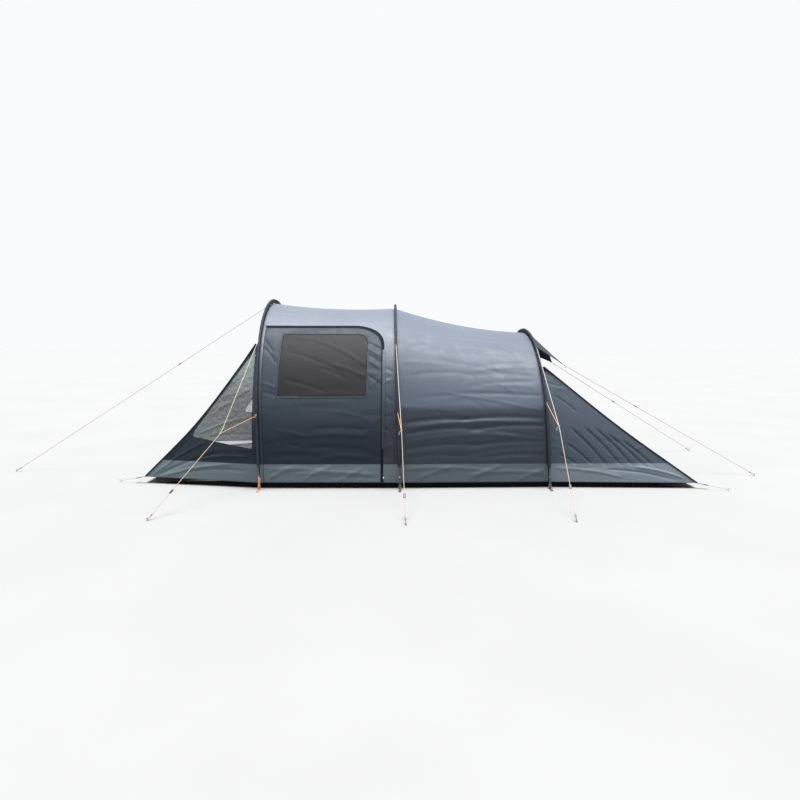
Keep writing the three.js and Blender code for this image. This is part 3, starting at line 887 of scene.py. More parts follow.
class PathRepeater:
    """Sets one small detail along paths by a geometry node tree."""

    trees: dict[Repeat, bpy.types.NodeTree] = {}

    @classmethod
    def tree(cls, detail: Repeat) -> bpy.types.NodeTree:
        """Builds the tree of a detail on first use.

        Args:
            detail: What is repeated.

        Returns:
            The node tree, with inputs Pitch, Length, Width, Height and Material.
        """
        if detail in cls.trees:
            return cls.trees[detail]
        tree = bpy.data.node_groups.new(f"repeat_{detail.value}", "GeometryNodeTree")
        face = tree.interface
        face.new_socket("Geometry", in_out="INPUT", socket_type="NodeSocketGeometry")
        for name in ("Pitch", "Length", "Width", "Height"):
            face.new_socket(name, in_out="INPUT", socket_type="NodeSocketFloat")
        face.new_socket("Material", in_out="INPUT", socket_type="NodeSocketMaterial")
        face.new_socket("Geometry", in_out="OUTPUT", socket_type="NodeSocketGeometry")
        nodes, links = tree.nodes, tree.links
        given = nodes.new("NodeGroupInput").outputs
        result = nodes.new("NodeGroupOutput")
        curve = nodes.new("GeometryNodeMeshToCurve")
        spaced = nodes.new("GeometryNodeResampleCurve")
        spaced.mode = "LENGTH"
        links.new(given["Geometry"], curve.inputs["Mesh"])
        links.new(curve.outputs["Curve"], spaced.inputs["Curve"])
        links.new(given["Pitch"], spaced.inputs["Length"])
        tangent = nodes.new("GeometryNodeInputTangent")
        facing = nodes.new("GeometryNodeInputNamedAttribute")
        facing.data_type = "FLOAT_VECTOR"
        facing.inputs["Name"].default_value = "facing"
        forward = nodes.new("FunctionNodeAlignRotationToVector")
        forward.axis = "X"
        upward = nodes.new("FunctionNodeAlignRotationToVector")
        upward.axis = "Z"
        upward.pivot_axis = "X"
        links.new(tangent.outputs["Tangent"], forward.inputs["Vector"])
        links.new(forward.outputs["Rotation"], upward.inputs["Rotation"])
        links.new(facing.outputs["Attribute"], upward.inputs["Vector"])
        placed = nodes.new("GeometryNodeInstanceOnPoints")
        links.new(spaced.outputs["Curve"], placed.inputs["Points"])
        links.new(upward.outputs["Rotation"], placed.inputs["Rotation"])
        links.new(cls._detail(tree, detail, given), placed.inputs["Instance"])
        real = nodes.new("GeometryNodeRealizeInstances")
        dressed = nodes.new("GeometryNodeSetMaterial")
        links.new(placed.outputs["Instances"], real.inputs["Geometry"])
        links.new(real.outputs["Geometry"], dressed.inputs["Geometry"])
        links.new(given["Material"], dressed.inputs["Material"])
        links.new(dressed.outputs["Geometry"], result.inputs["Geometry"])
        cls.trees[detail] = tree
        return tree

    @staticmethod
    def _detail(
        tree: bpy.types.NodeTree, detail: Repeat, given: bpy.types.NodeOutputs
    ) -> bpy.types.NodeSocket:
        """Adds the nodes that make one detail.

        Args:
            tree: The tree.
            detail: What is made.
            given: Outputs of the group's input node.

        Returns:
            The socket with the detail's geometry.
        """
        nodes, links = tree.nodes, tree.links
        if detail in (Repeat.STITCH, Repeat.TOOTH):
            size = nodes.new("ShaderNodeCombineXYZ")
            for axis, name in zip("XYZ", ("Length", "Width", "Height")):
                links.new(given[name], size.inputs[axis])
            block = nodes.new("GeometryNodeMeshCube")
            links.new(size.outputs["Vector"], block.inputs["Size"])
            if detail is Repeat.TOOTH:
                return block.outputs["Mesh"]
            softened = nodes.new("GeometryNodeSubdivisionSurface")
            softened.inputs["Level"].default_value = 1
            links.new(block.outputs["Mesh"], softened.inputs["Mesh"])
            return softened.outputs["Mesh"]
        tube = nodes.new("GeometryNodeMeshCylinder")
        tube.inputs["Vertices"].default_value = 14
        links.new(given["Width"], tube.inputs["Radius"])
        links.new(given["Length"], tube.inputs["Depth"])
        turned = nodes.new("GeometryNodeTransform")
        turned.inputs["Rotation"].default_value = (0.0, math.pi / 2, 0.0)
        links.new(tube.outputs["Mesh"], turned.inputs["Geometry"])
        return turned.outputs["Geometry"]

    @classmethod
    def run(
        cls, name: str, detail: Repeat, paths: Sequence[tuple[Array, Array]], sizes: RepeatSizes, finish: Finish
    ) -> bpy.types.Object:
        """Makes one piece of details along paths.

        Args:
            name: Object name.
            detail: What is repeated.
            paths: Points of each path and the direction that the detail faces at each point.
            sizes: Its sizes.
            finish: Its finish.

        Returns:
            The piece, a plain mesh.
        """
        vertices, edges, facing = [], [], []
        for points, normals in paths:
            start = len(vertices)
            vertices.extend(np.asarray(points).tolist())
            facing.extend(np.broadcast_to(normals, np.shape(points)).tolist())
            edges.extend([start + i, start + i + 1] for i in range(len(points) - 1))
        mesh = bpy.data.meshes.new(name)
        mesh.from_pydata(vertices, edges, [])
        attribute = mesh.attributes.new("facing", "FLOAT_VECTOR", "POINT")
        attribute.data.foreach_set("vector", np.asarray(facing, dtype=np.float32).ravel())
        piece = bpy.data.objects.new(name, mesh)
        bpy.context.scene.collection.objects.link(piece)
        modifier = piece.modifiers.new("repeat", "NODES")
        modifier.node_group = cls.tree(detail)
        values = {
            "Pitch": sizes.pitch,
            "Length": sizes.length,
            "Width": sizes.width,
            "Height": sizes.height,
            "Material": Wardrobe.material(finish),
        }
        for item in modifier.node_group.interface.items_tree:
            if item.in_out == "INPUT" and item.name in values:
                modifier[item.identifier] = values[item.name]
        bake_modifiers(piece)
        return piece


# ---- hoops and cloth surfaces ---------------------------------------------------------------------------


class ArcLine:
    """A dense line that is read by its share of arc length."""

    def __init__(self, points: Array) -> None:
        """Keeps the points and their distances.

        Args:
            points: Points of the line.
        """
        self.points = points
        steps = np.linalg.norm(np.diff(points, axis=0), axis=1)
        self.distance = np.r_[0.0, np.cumsum(steps)]
        self.length = float(self.distance[-1])

    def at(self, share: Array | float) -> Array:
        """Points at shares of the arc length."""
        wanted = np.asarray(share, dtype=float) * self.length
        return np.stack([np.interp(wanted, self.distance, self.points[:, k]) for k in range(3)], axis=-1)


@dataclass(frozen=True)
class Hoop:
    """One hoop: x of its feet and apex, half width at the ground and height of the pole's centre."""

    name: str
    foot_x: float
    apex_x: float
    half_width: float
    height: float

    def line(self, inset: float = 0.0, base_z: float = 0.0, top_z: float | None = None) -> ArcLine:
        """The hoop's line moved inwards, from its near foot on.

        Args:
            inset: How far inside the pole line.
            base_z: Height at which it starts.
            top_z: Height at which it ends on the near side, or None for the far foot.

        Returns:
            The line.
        """
        height = self.height - inset
        first = math.asin((base_z / height) ** (1 / SQUARENESS))
        last = math.pi - first if top_z is None else math.asin((top_z / height) ** (1 / SQUARENESS))
        angle = first + (last - first) * np.linspace(0, 1, 2401)
        z = height * np.sin(angle) ** SQUARENESS
        lean = (self.apex_x - self.foot_x) / self.height
        return ArcLine(np.column_stack([self.foot_x + lean * z, -(self.half_width - inset) * np.cos(angle), z]))

    def tie(self, z: float, side: Side) -> Array:
        """Where a guy line ties to the sleeve.

        Args:
            z: Height of the tie.
            side: Side of the tent.

        Returns:
            The point.
        """
        point = self.line(-TIE_CLEARANCE, z).points[0].copy()
        point[1] *= -side.value
        return point


FRONT_HOOP = Hoop("front", -1.230, -1.340, 1.200, 1.735)
MIDDLE_HOOP = Hoop("middle", 0.0, -0.050, 1.200, 1.680)
REAR_HOOP = Hoop("rear", 1.320, 1.320, 1.162, 1.423)
HOOPS = (FRONT_HOOP, MIDDLE_HOOP, REAR_HOOP)

FRONT_EDGE = ((-1.342, 0.860, 1.273), (-1.505, 0.880, 1.031), (-1.874, 0.930, 0.537), (-2.330, 0.960, 0.060))
REAR_EDGE = ((1.345, 0.830, 1.058), (1.985, 1.005, 0.520), (2.620, 1.160, 0.048))


def spline(corners: Sequence[Sequence[float]], per_span: int = 200) -> ArcLine:
    """A centripetal Catmull-Rom line through points.

    Args:
        corners: The points.
        per_span: Points between two of them.

    Returns:
        The line.
    """
    p = np.array(corners, dtype=float)
    p = np.vstack([2 * p[0] - p[1], p, 2 * p[-1] - p[-2]])
    t = np.linspace(0, 1, per_span, endpoint=False)[:, None]
    out = []
    for i in range(1, len(p) - 2):
        d = [max(float(np.sum((p[k + 1] - p[k]) ** 2)) ** 0.25, 1e-4) for k in (i - 1, i, i + 1)]
        t1 = (p[i] - p[i - 1]) / d[0] - (p[i + 1] - p[i - 1]) / (d[0] + d[1]) + (p[i + 1] - p[i]) / d[1]
        t2 = (p[i + 1] - p[i]) / d[1] - (p[i + 2] - p[i]) / (d[1] + d[2]) + (p[i + 2] - p[i + 1]) / d[2]
        m1, m2 = t1 * d[1], t2 * d[1]
        span = p[i + 1] - p[i]
        out.append(p[i] + m1 * t + (3 * span - 2 * m1 - m2) * t**2 + (m1 + m2 - 2 * span) * t**3)
    out.append(p[-2:-1])
    return ArcLine(np.vstack(out))


@dataclass(frozen=True)
class Fold:
    """A soft fold in cloth between two points on it; a negative depth is a groove."""

    start: tuple[float, float]
    end: tuple[float, float]
    depth: float
    width: float

    def lift(self, a: Array, b: Array) -> Array:
        """How far the fold lifts the cloth.

        Args:
            a: First cloth coordinate of each point.
            b: Second cloth coordinate of each point.

        Returns:
            The lift at each point.
        """
        run = np.subtract(self.end, self.start)
        length = float(np.hypot(*run))
        along = ((a - self.start[0]) * run[0] + (b - self.start[1]) * run[1]) / length
        off = ((b - self.start[1]) * run[0] - (a - self.start[0]) * run[1]) / length
        bow = 0.03 * length * np.sin(np.pi * np.clip(along / length, 0, 1))
        ends = np.clip(np.minimum(along, length - along) / (0.22 * length) + 0.5, 0, 1)
        return self.depth * np.exp(-(((off - bow) / self.width) ** 2)) * ends**2 * (3 - 2 * ends)


def add_folds(lift: Array, folds: Iterable[Fold], a: Array, b: Array) -> None:
    """Adds the lift of folds to a grid's lift.

    Args:
        lift: The lift at each point, changed in place.
        folds: The folds.
        a: First cloth coordinate of each point.
        b: Second cloth coordinate of each point.
    """
    for fold in folds:
        lift += fold.lift(a, b)


def scattered_folds(
    seed: int,
    count: int,
    low: Sequence[float],
    high: Sequence[float],
    tilt: float,
    reach: tuple[float, float],
    depth: float,
) -> list[Fold]:
    """Random folds that run mostly along the first cloth coordinate.

    Args:
        seed: Seed of the draw.
        count: Number of folds.
        low: Lowest coordinates of their middles.
        high: Highest coordinates of their middles.
        tilt: Most that they lean, in radians.
        reach: Shortest and longest fold.
        depth: Most that one lifts or sinks.

    Returns:
        The folds.
    """
    draw = np.random.default_rng(seed)
    folds = []
    for _ in range(count):
        middle = draw.uniform(low, high)
        half = draw.uniform(*reach) / 2
        lean = draw.uniform(-tilt, tilt)
        step = np.array([math.cos(lean), math.sin(lean)]) * half
        size = draw.uniform(0.35, 1.0) * depth * draw.choice([-1, 1])
        folds.append(Fold(tuple(middle - step), tuple(middle + step), size, draw.uniform(0.012, 0.034)))
    return folds


class Surface:
    """A cloth surface as a grid of points, read by shares of its rows and columns."""

    def __init__(self, grid: Array, inside: Sequence[float]) -> None:
        """Keeps the grid and finds its outward normals.

        Args:
            grid: Points as (rows, columns, 3).
            inside: A point that every part of the surface faces away from.
        """
        self.grid = grid
        self.cut = patch_area(grid)
        normals = grid_normals(grid)
        self.normals = normals * np.sign(np.sum(normals * (grid - np.array(inside)), axis=-1))[..., None]

    def push(self, lift: Array) -> None:
        """Moves the points along their normals, then renews the normals on the same side."""
        before = self.normals
        self.grid = self.grid + before * lift[..., None]
        fresh = grid_normals(self.grid)
        self.normals = fresh * np.sign(np.sum(fresh * before, axis=-1))[..., None]

    def shell(self, name: str, thickness: float = FABRIC) -> bpy.types.Object:
        """The surface as a closed sheet."""
        return shell(name, self.grid, thickness)

    def read(self, rows: Array, columns: Array, lift: float = 0.0) -> tuple[Array, Array]:
        """Points and normals between the grid's points.

        Args:
            rows: Share down the rows for each wanted point.
            columns: Share along the columns.
            lift: Distance off the surface.

        Returns:
            The points and their normals.
        """
        count = self.grid.shape[:2]
        r = np.clip(np.asarray(rows, dtype=float), 0, 1) * (count[0] - 1)
        c = np.clip(np.asarray(columns, dtype=float), 0, 1) * (count[1] - 1)
        r, c = np.broadcast_arrays(r, c)
        i = np.minimum(r.astype(int), count[0] - 2)
        j = np.minimum(c.astype(int), count[1] - 2)
        fr, fc = (r - i)[..., None], (c - j)[..., None]
        found = []
        for table in (self.grid, self.normals):
            top = table[i, j] * (1 - fc) + table[i, j + 1] * fc
            low = table[i + 1, j] * (1 - fc) + table[i + 1, j + 1] * fc
            found.append(top * (1 - fr) + low * fr)
        normals = unit(found[1])
        return found[0] + normals * lift, normals


def ribbon(name: str, points: Array, normals: Array, width: float, thickness: float) -> bpy.types.Object:
    """A flat strip laid along a line on a surface.

    Args:
        name: Object name.
        points: Middle line of the strip's own thickness.
        normals: Direction that the strip faces at each point.
        width: Its width.
        thickness: Its thickness.

    Returns:
        The strip.
    """
    return sweep(name, points, flat_section(width, thickness), up=normals)


# ---- studio ---------------------------------------------------------------------------------------------


@dataclass
class Studio:
    """Pale floor, soft overhead light and the camera."""

    eye: tuple[float, float, float] = (0.0, -6.5, 1.31)
    focal: float = 605 / 800 * 36
    shift_y: float = -0.075
    floor_half: float = 60.0
    sky: tuple[float, float, float] = (0.97, 0.98, 1.0)
    sky_strength: float = 0.985
    sun_strength: float = 8.8
    sun_angle: float = math.radians(40)

    def build(self) -> None:
        """Sets up the camera, the lights, the world and the floor."""
        scene = bpy.context.scene
        scene.view_settings.view_transform = "Standard"
        lens = bpy.data.cameras.new("camera")
        lens.lens = self.focal
        lens.sensor_width = 36.0
        lens.shift_y = self.shift_y
        lens.clip_end = 200.0
        camera = bpy.data.objects.new("camera", lens)
        camera.location = self.eye
        camera.rotation_euler = (math.pi / 2, 0.0, 0.0)
        scene.collection.objects.link(camera)
        scene.camera = camera
        self._overhead()
        world = bpy.data.worlds.new("studio")
        scene.world = world
        world.use_nodes = True
        sky = world.node_tree.nodes["Background"]
        sky.inputs["Color"].default_value = (*self.sky, 1.0)
        sky.inputs["Strength"].default_value = self.sky_strength
        self._floor()

    def _overhead(self) -> None:
        """Adds the broad soft light from above."""
        lamp = bpy.data.lights.new("overhead", "SUN")
        lamp.energy = self.sun_strength
        lamp.angle = self.sun_angle
        holder = bpy.data.objects.new("overhead", lamp)
        holder.location = (0.0, 0.0, 8.0)
        holder.rotation_euler = (math.radians(4), 0.0, 0.0)
        bpy.context.scene.collection.objects.link(holder)

    def _floor(self) -> None:
        """Adds the pale floor."""
        h = self.floor_half
        corners = np.array([(-h, -h, 0), (h, -h, 0), (h, h, 0), (-h, h, 0)], dtype=float)
        floor = link_mesh("studio_floor", corners, [(0, 1, 2, 3)])
        s = Shader("studio_floor")
        place = s.place()
        darker, paler = (0.243,) * 3, (0.252,) * 3
        s.feed("Base Color", s.mix(s.ramp(s.noise(place, 0.8), 0.0, 1.0), darker, paler))
        s.fix(Roughness=0.9, Specular_IOR_Level=0.1)
        floor.data.materials.append(s.material)


# ---- guy lines ------------------------------------------------------------------------------------------


@dataclass(frozen=True)
class SideGuy:
    """A side guy line: its peg, the junction of its two legs and the heights of their ties."""

    hoop: Hoop
    peg: tuple[float, float]
    junction: tuple[float, float, float]
    upper_z: float
    lower_z: float


SIDE_GUYS = (
    SideGuy(FRONT_HOOP, (-1.830, 2.120), (-1.480, 1.500, 0.540), 1.320, 0.640),
    SideGuy(MIDDLE_HOOP, (0.040, 2.220), (0.012, 1.640, 0.585), 1.275, 0.660),
    SideGuy(REAR_HOOP, (1.270, 2.150), (1.303, 1.560, 0.590), 1.235, 0.740),
)


@dataclass(frozen=True)
class SingleGuy:
    """A guy line without legs, from its peg to its tie."""

    name: str
    peg: tuple[float, float]
    tie: tuple[float, float, float]


SINGLE_GUYS = (
    SingleGuy("front_centre", (-3.820, -0.470), (-1.358, 0.0, 1.712)),
    SingleGuy("hood_near", (3.420, -0.660), (1.702, -0.221, 1.050)),
    SingleGuy("hood_far", (3.420, 0.660), (1.702, 0.221, 1.050)),
)


@dataclass
class GuyLines:
    """All guy lines as taut cords, with their knots, loops, runners and pegs."""

    line_end_z: float = 0.011
    peg_gap: float = 0.0035
    points: int = 40
    bend: float = 0.05

    def build(self) -> None:
        """Builds every guy line."""
        for side in (Side.NEAR, Side.FAR):
            for guy in SIDE_GUYS:
                self._side_guy(guy, side)
        for guy in SINGLE_GUYS:
            self._single_guy(guy)

    def _foot(self, peg: Sequence[float], towards: Array) -> Array:
        """The line's end beside its peg."""
        end = np.array([peg[0], peg[1], self.line_end_z])
        back = np.array([towards[0] - end[0], towards[1] - end[1], 0.0])
        return end + unit(back) * self.peg_gap

    def _rope(self, name: str, path: Array, finish: Finish) -> bpy.types.Object:
        """A round cord along a path.

        Args:
            name: Object name.
            path: Its points.
            finish: Its finish.

        Returns:
            The cord.
        """
        return Wardrobe.dress(sweep(name, path, round_section(CORD_DIAMETER / 2, 8), up=(0.31, 0.52, 0.8)), finish)

    def _side_guy(self, guy: SideGuy, side: Side) -> None:
        """Builds one side guy line: the long cord, its lower leg and what is on them.

        Args:
            guy: Its points.
            side: Side of the tent.
        """
        name = f"{guy.hoop.name}_{side.word}"
        junction = np.array([guy.junction[0], side.value * guy.junction[1], guy.junction[2]])
        upper = guy.hoop.tie(guy.upper_z, side)
        lower = guy.hoop.tie(guy.lower_z, side)
        peg = (guy.peg[0], side.value * guy.peg[1])
        foot = self._foot(peg, junction)
        path = smooth_path([upper, junction, foot], self.points, self.bend)
        meeting = path[np.argmin(np.linalg.norm(path - junction, axis=1))]
        leg = smooth_path([lower, meeting], 16, self.bend)
        rope = self._rope(f"guy_line_{name}", path, Finish.SIDE_CORD)
        short = self._rope(f"guy_leg_{name}", leg, Finish.ORANGE_CORD)
        knot = self._knot(f"guy_knot_{name}", meeting, unit(foot - junction), Finish.CORD)
        top_loop = self._tie_loop(f"guy_tie_upper_{name}", upper, unit(junction - upper), Finish.DARK_WEBBING)
        low_loop = self._tie_loop(f"guy_tie_lower_{name}", lower, unit(junction - lower), Finish.WEBBING)
        runner = self._runner(name)
        loop = self._peg_loop(f"guy_peg_loop_{name}", foot, peg, unit(junction - foot))
        settle(rope, Finish.SIDE_CORD, replaces=[f"guy_{name}"])
        settle(short, Finish.ORANGE_CORD)
        self._peg(name, peg, junction)

    def _single_guy(self, guy: SingleGuy) -> None:
        """Builds a guy line that has one tie."""
        tie = np.array(guy.tie)
        foot = self._foot(guy.peg, tie)
        path = respaced(np.array([tie, foot]), self.points)
        rope = self._rope(f"guy_line_{guy.name}", path, Finish.CORD)
        knot_at = path[0] + unit(path[1] - path[0]) * 0.012
        knot = self._knot(f"guy_knot_{guy.name}", knot_at, unit(foot - tie), Finish.CORD)
        runner = self._runner(guy.name)
        loop = self._peg_loop(f"guy_peg_loop_{guy.name}", foot, guy.peg, unit(tie - foot))
        settle(rope, Finish.CORD, replaces=[f"guy_{guy.name}"])
        self._peg(guy.name, guy.peg, tie)

    @staticmethod
    def _turns(
        centre: Array, along: Array, side: Array, reach: float, radius: Array | float, turns: int, count: int
    ) -> Array:
        """Turns of cord round a line.

        Args:
            centre: Their middle.
            along: Direction of the line.
            side: Direction square to it, in which the first turn starts.
            reach: How far they go along the line to each side of the middle.
            radius: Their radius, one or one for each point.
            turns: Number of turns.
            count: Number of points.

        Returns:
            The points.
        """
        angle = np.linspace(0, turns * 2 * math.pi, count)
        return (
            centre
            + along * np.linspace(-reach, reach, count)[:, None]
            + side * (radius * np.cos(angle))[:, None]
            + np.cross(side, along) * (radius * np.sin(angle))[:, None]
        )

    def _knot(self, name: str, centre: Array, along: Array, finish: Finish) -> bpy.types.Object:
        """An overhand knot: three tight turns of the cord and a short tail.

        Args:
            name: Object name.
            centre: Its middle.
            along: Direction of the line through it.
            finish: Its finish.

        Returns:
            The knot.
        """
        side = unit(np.cross(along, (0.1, 0.2, 1.0)))
        up = np.cross(side, along)
        swell = 0.0042 + 0.0014 * np.sin(np.linspace(0, math.pi, 54))
        turns = self._turns(centre, along, side, 0.006, swell, 3, 54)
        last = turns[-1]
        tail = smooth_path([last, last + side * 0.012 - up * 0.01, last + side * 0.016 - (0, 0, 0.03)], 12, 0.008)
        coil = sweep(name, turns, round_section(0.0024, 7), up=(0.3, 0.5, 0.81))
        end = sweep(f"{name}_tail", tail, round_section(0.0021, 7), up=(0.3, 0.5, 0.81))
        return settle(join(name, [coil, end]), finish)

    def _tie_loop(self, name: str, tie: Array, away: Array, finish: Finish) -> bpy.types.Object:
        """A webbing loop sewn under the sleeve, its eye round the cord's end.

        Args:
            name: Object name.
            tie: End of the cord.
            away: Direction of the cord.
            finish: Its finish.

        Returns:
            The loop.
        """
        back = -away
        across = unit(np.cross(away, (1.0, 0.0, 0.0)))
        eye = tie + away * 0.01
        corners = [
            tie + back * 0.008 + across * 0.004,
            eye + across * 0.009,
            eye + away * 0.012,
            eye - across * 0.009,
            tie + back * 0.008 - across * 0.004,
        ]
        path = smooth_path(corners, 30, 0.012)
        return settle(sweep(name, path, flat_section(0.014, 0.0016), up=(1.0, 0.0, 0.05)), finish)

    def _runner(self, name: str) -> bpy.types.Object:
        """Finishes a line runner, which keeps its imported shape."""
        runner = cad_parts[f"runner_{name}"]
        Wardrobe.dress(runner, Finish.PLASTIC)
        return runner

    def _peg_loop(self, name: str, foot: Array, peg: Sequence[float], along: Array) -> bpy.types.Object:
        """The line's bight round its peg, whipped to the line.

        Args:
            name: Object name.
            foot: End of the line.
            peg: The peg's x and y.
            along: Direction from the peg up the line.

        Returns:
            The loop.
        """
        centre = np.array([peg[0], peg[1], self.line_end_z])
        out = unit(np.array([along[0], along[1], 0.0]))
        side = np.array([-out[1], out[0], 0.0])
        start = foot + along * 0.05
        r = 0.0055
        corners = [
            start + side * 0.003, centre + out * 0.012 + side * r, centre - out * r + side * r,
            centre - out * r - side * r, centre + out * 0.012 - side * r, start - side * 0.003,
        ]
        bight = sweep(name, smooth_path(corners, 48, 0.006), round_section(0.0018, 7))
        whip = self._whipping(f"{name}_whip", start - along * 0.008, along)
        return settle(join(name, [bight, whip]), Finish.CORD)

    def _whipping(self, name: str, centre: Array, along: Array) -> bpy.types.Object:
        """Close turns of cord round the line."""
        side = unit(np.cross(along, (0.0, 0.0, 1.0)))
        path = self._turns(centre, along, side, 0.009, 0.0052, 5, 90)
        return sweep(name, path, round_section(0.0018, 6), up=along)

    def _peg(self, name: str, peg: Sequence[float], towards: Array) -> None:
        """Replaces a line's peg by a rounded wire pin with a hooked end.

        Args:
            name: Name of its line.
            peg: Its x and y.
            towards: Where its line goes.
        """
        lead = np.array([peg[0] - towards[0], peg[1] - towards[1], 0.0])
        settle(PegMaker.make(f"pin_{name}", peg, unit(lead)), Finish.STEEL, replaces=[f"peg_{name}"])


class PegMaker:
    """Wire pegs: the part above the ground."""

    radius = 0.0026
    hook = 0.014
    bend = 0.006

    @classmethod
    def make(cls, name: str, peg: Sequence[float], lead: Array) -> bpy.types.Object:
        """Builds a peg.

        Args:
            name: Object name.
            peg: Its x and y.
            lead: Level direction of its hook.

        Returns:
            The peg.
        """
        foot = np.array([peg[0], peg[1], 0.0004])
        top = np.array([peg[0], peg[1], PEG_HEIGHT])
        tip = top + lead * cls.hook
        path = smooth_path([foot, top, tip, tip - (0, 0, 0.006)], 36, cls.bend)
        return sweep(name, path, round_section(cls.radius, 12), up=np.cross(lead, (0, 0, 1)))


# ---- hoops: poles and sleeves ---------------------------------------------------------------------------


@dataclass
class HoopSet:
    """The three poles in their sleeves, with ferrules and stitching."""

    sleeve_share: float = 1 / 24
    fin_depth: float = 0.033
    count: int = 420

    def build(self) -> None:
        """Builds every pole and sleeve."""
        for hoop in HOOPS:
            line = hoop.line(0.0, POLE_FOOT_Z)
            self._pole(hoop, line)
            self._sleeve(hoop, line)

    def _pole(self, hoop: Hoop, line: ArcLine) -> None:
        """A rod with its ferrules and rounded foot caps.

        Args:
            hoop: The hoop.
            line: Its centre line.
        """
        path = line.at(np.linspace(0, 1, 200))
        rod = Wardrobe.dress(
            sweep(f"rod_{hoop.name}", path, round_section(POLE_RADIUS * 0.98, 12), up=(1.0, 0.0, 0.0)), Finish.ROD
        )
        ends = []
        for k, shares in enumerate(((0.0, 0.012), (1.0, 0.988))):
            cap = line.at(np.linspace(*shares, 8))
            scale = np.array([0.7, 0.95, 1, 1, 1, 1, 1, 0.9])
            ends.append(
                Wardrobe.dress(
                    sweep(f"cap_{k}", cap, round_section(POLE_RADIUS * 1.22, 12), up=(1.0, 0.0, 0.0), scale=scale),
                    Finish.PLASTIC,
                )
            )
        settle(join(f"rod_{hoop.name}", [rod, *ends]), Finish.ROD, replaces=[f"pole_{hoop.name}"])
        ferrules = PathRepeater.run(
            f"ferrules_{hoop.name}",
            Repeat.FERRULE,
            [(line.at(np.linspace(0.022, 0.978, 160)), (1.0, 0.0, 0.0))],
            RepeatSizes(line.length * 0.956 / 6, 0.045, POLE_RADIUS * 1.14, 0.0),
            Finish.STEEL,
        )
        settle(ferrules, Finish.STEEL)

    def _sleeve(self, hoop: Hoop, line: ArcLine) -> None:
        """The cloth tunnel round the pole, its fin down to the fly and the stitching between them.

        Args:
            hoop: The hoop.
            line: The pole's centre line.
        """
        share = np.linspace(self.sleeve_share, 1 - self.sleeve_share, self.count)
        path = line.at(share)
        ripple = 1 + 0.05 * np.sin(share * 260 + 0.7 * np.sin(share * 91)) + 0.04 * np.sin(share * 97)
        across = unit(np.array([hoop.height, 0.0, hoop.foot_x - hoop.apex_x]))
        outward = self._outward(path, across)
        tube = sweep(f"tunnel_{hoop.name}", path, round_section(SLEEVE_RADIUS, 14), up=across, scale=ripple)
        fin_middle = path - outward * (SLEEVE_RADIUS + self.fin_depth - 0.004) / 2
        sway = 0.0022 * np.sin(share * 210 + 1.3) * np.sin(share * 37)
        fin = sweep(
            f"fin_{hoop.name}", fin_middle + across * sway[:, None],
            flat_section(self.fin_depth - SLEEVE_RADIUS + 0.006, 0.003), up=across,
        )
        settle(join(f"sleeve_cloth_{hoop.name}", [tube, fin]), Finish.SLEEVE, replaces=[f"sleeve_{hoop.name}"])
        rows = []
        for sign in (-1, 1):
            seat = path - outward * (SLEEVE_RADIUS + 0.003) + across * sign * 0.0022
            rows.append((seat, across * sign))
        sizes = RepeatSizes(0.0075, 0.005, 0.0009, 0.0009)
        stitches = PathRepeater.run(
            f"sleeve_stitches_{hoop.name}", Repeat.STITCH, rows, sizes, Finish.THREAD
        )
        settle(stitches, Finish.THREAD)

    @staticmethod
    def _outward(path: Array, across: Array) -> Array:
        """Unit vectors that point out of the tent along a hoop.

        Args:
            path: Points from the near foot to the far one.
            across: Direction square to the hoop.

        Returns:
            The vectors.
        """
        outward = unit(np.cross(across, unit(np.gradient(path, axis=0))))
        return -outward if outward[len(path) // 2, 2] < 0 else outward


# ---- fly ------------------------------------------------------------------------------------------------

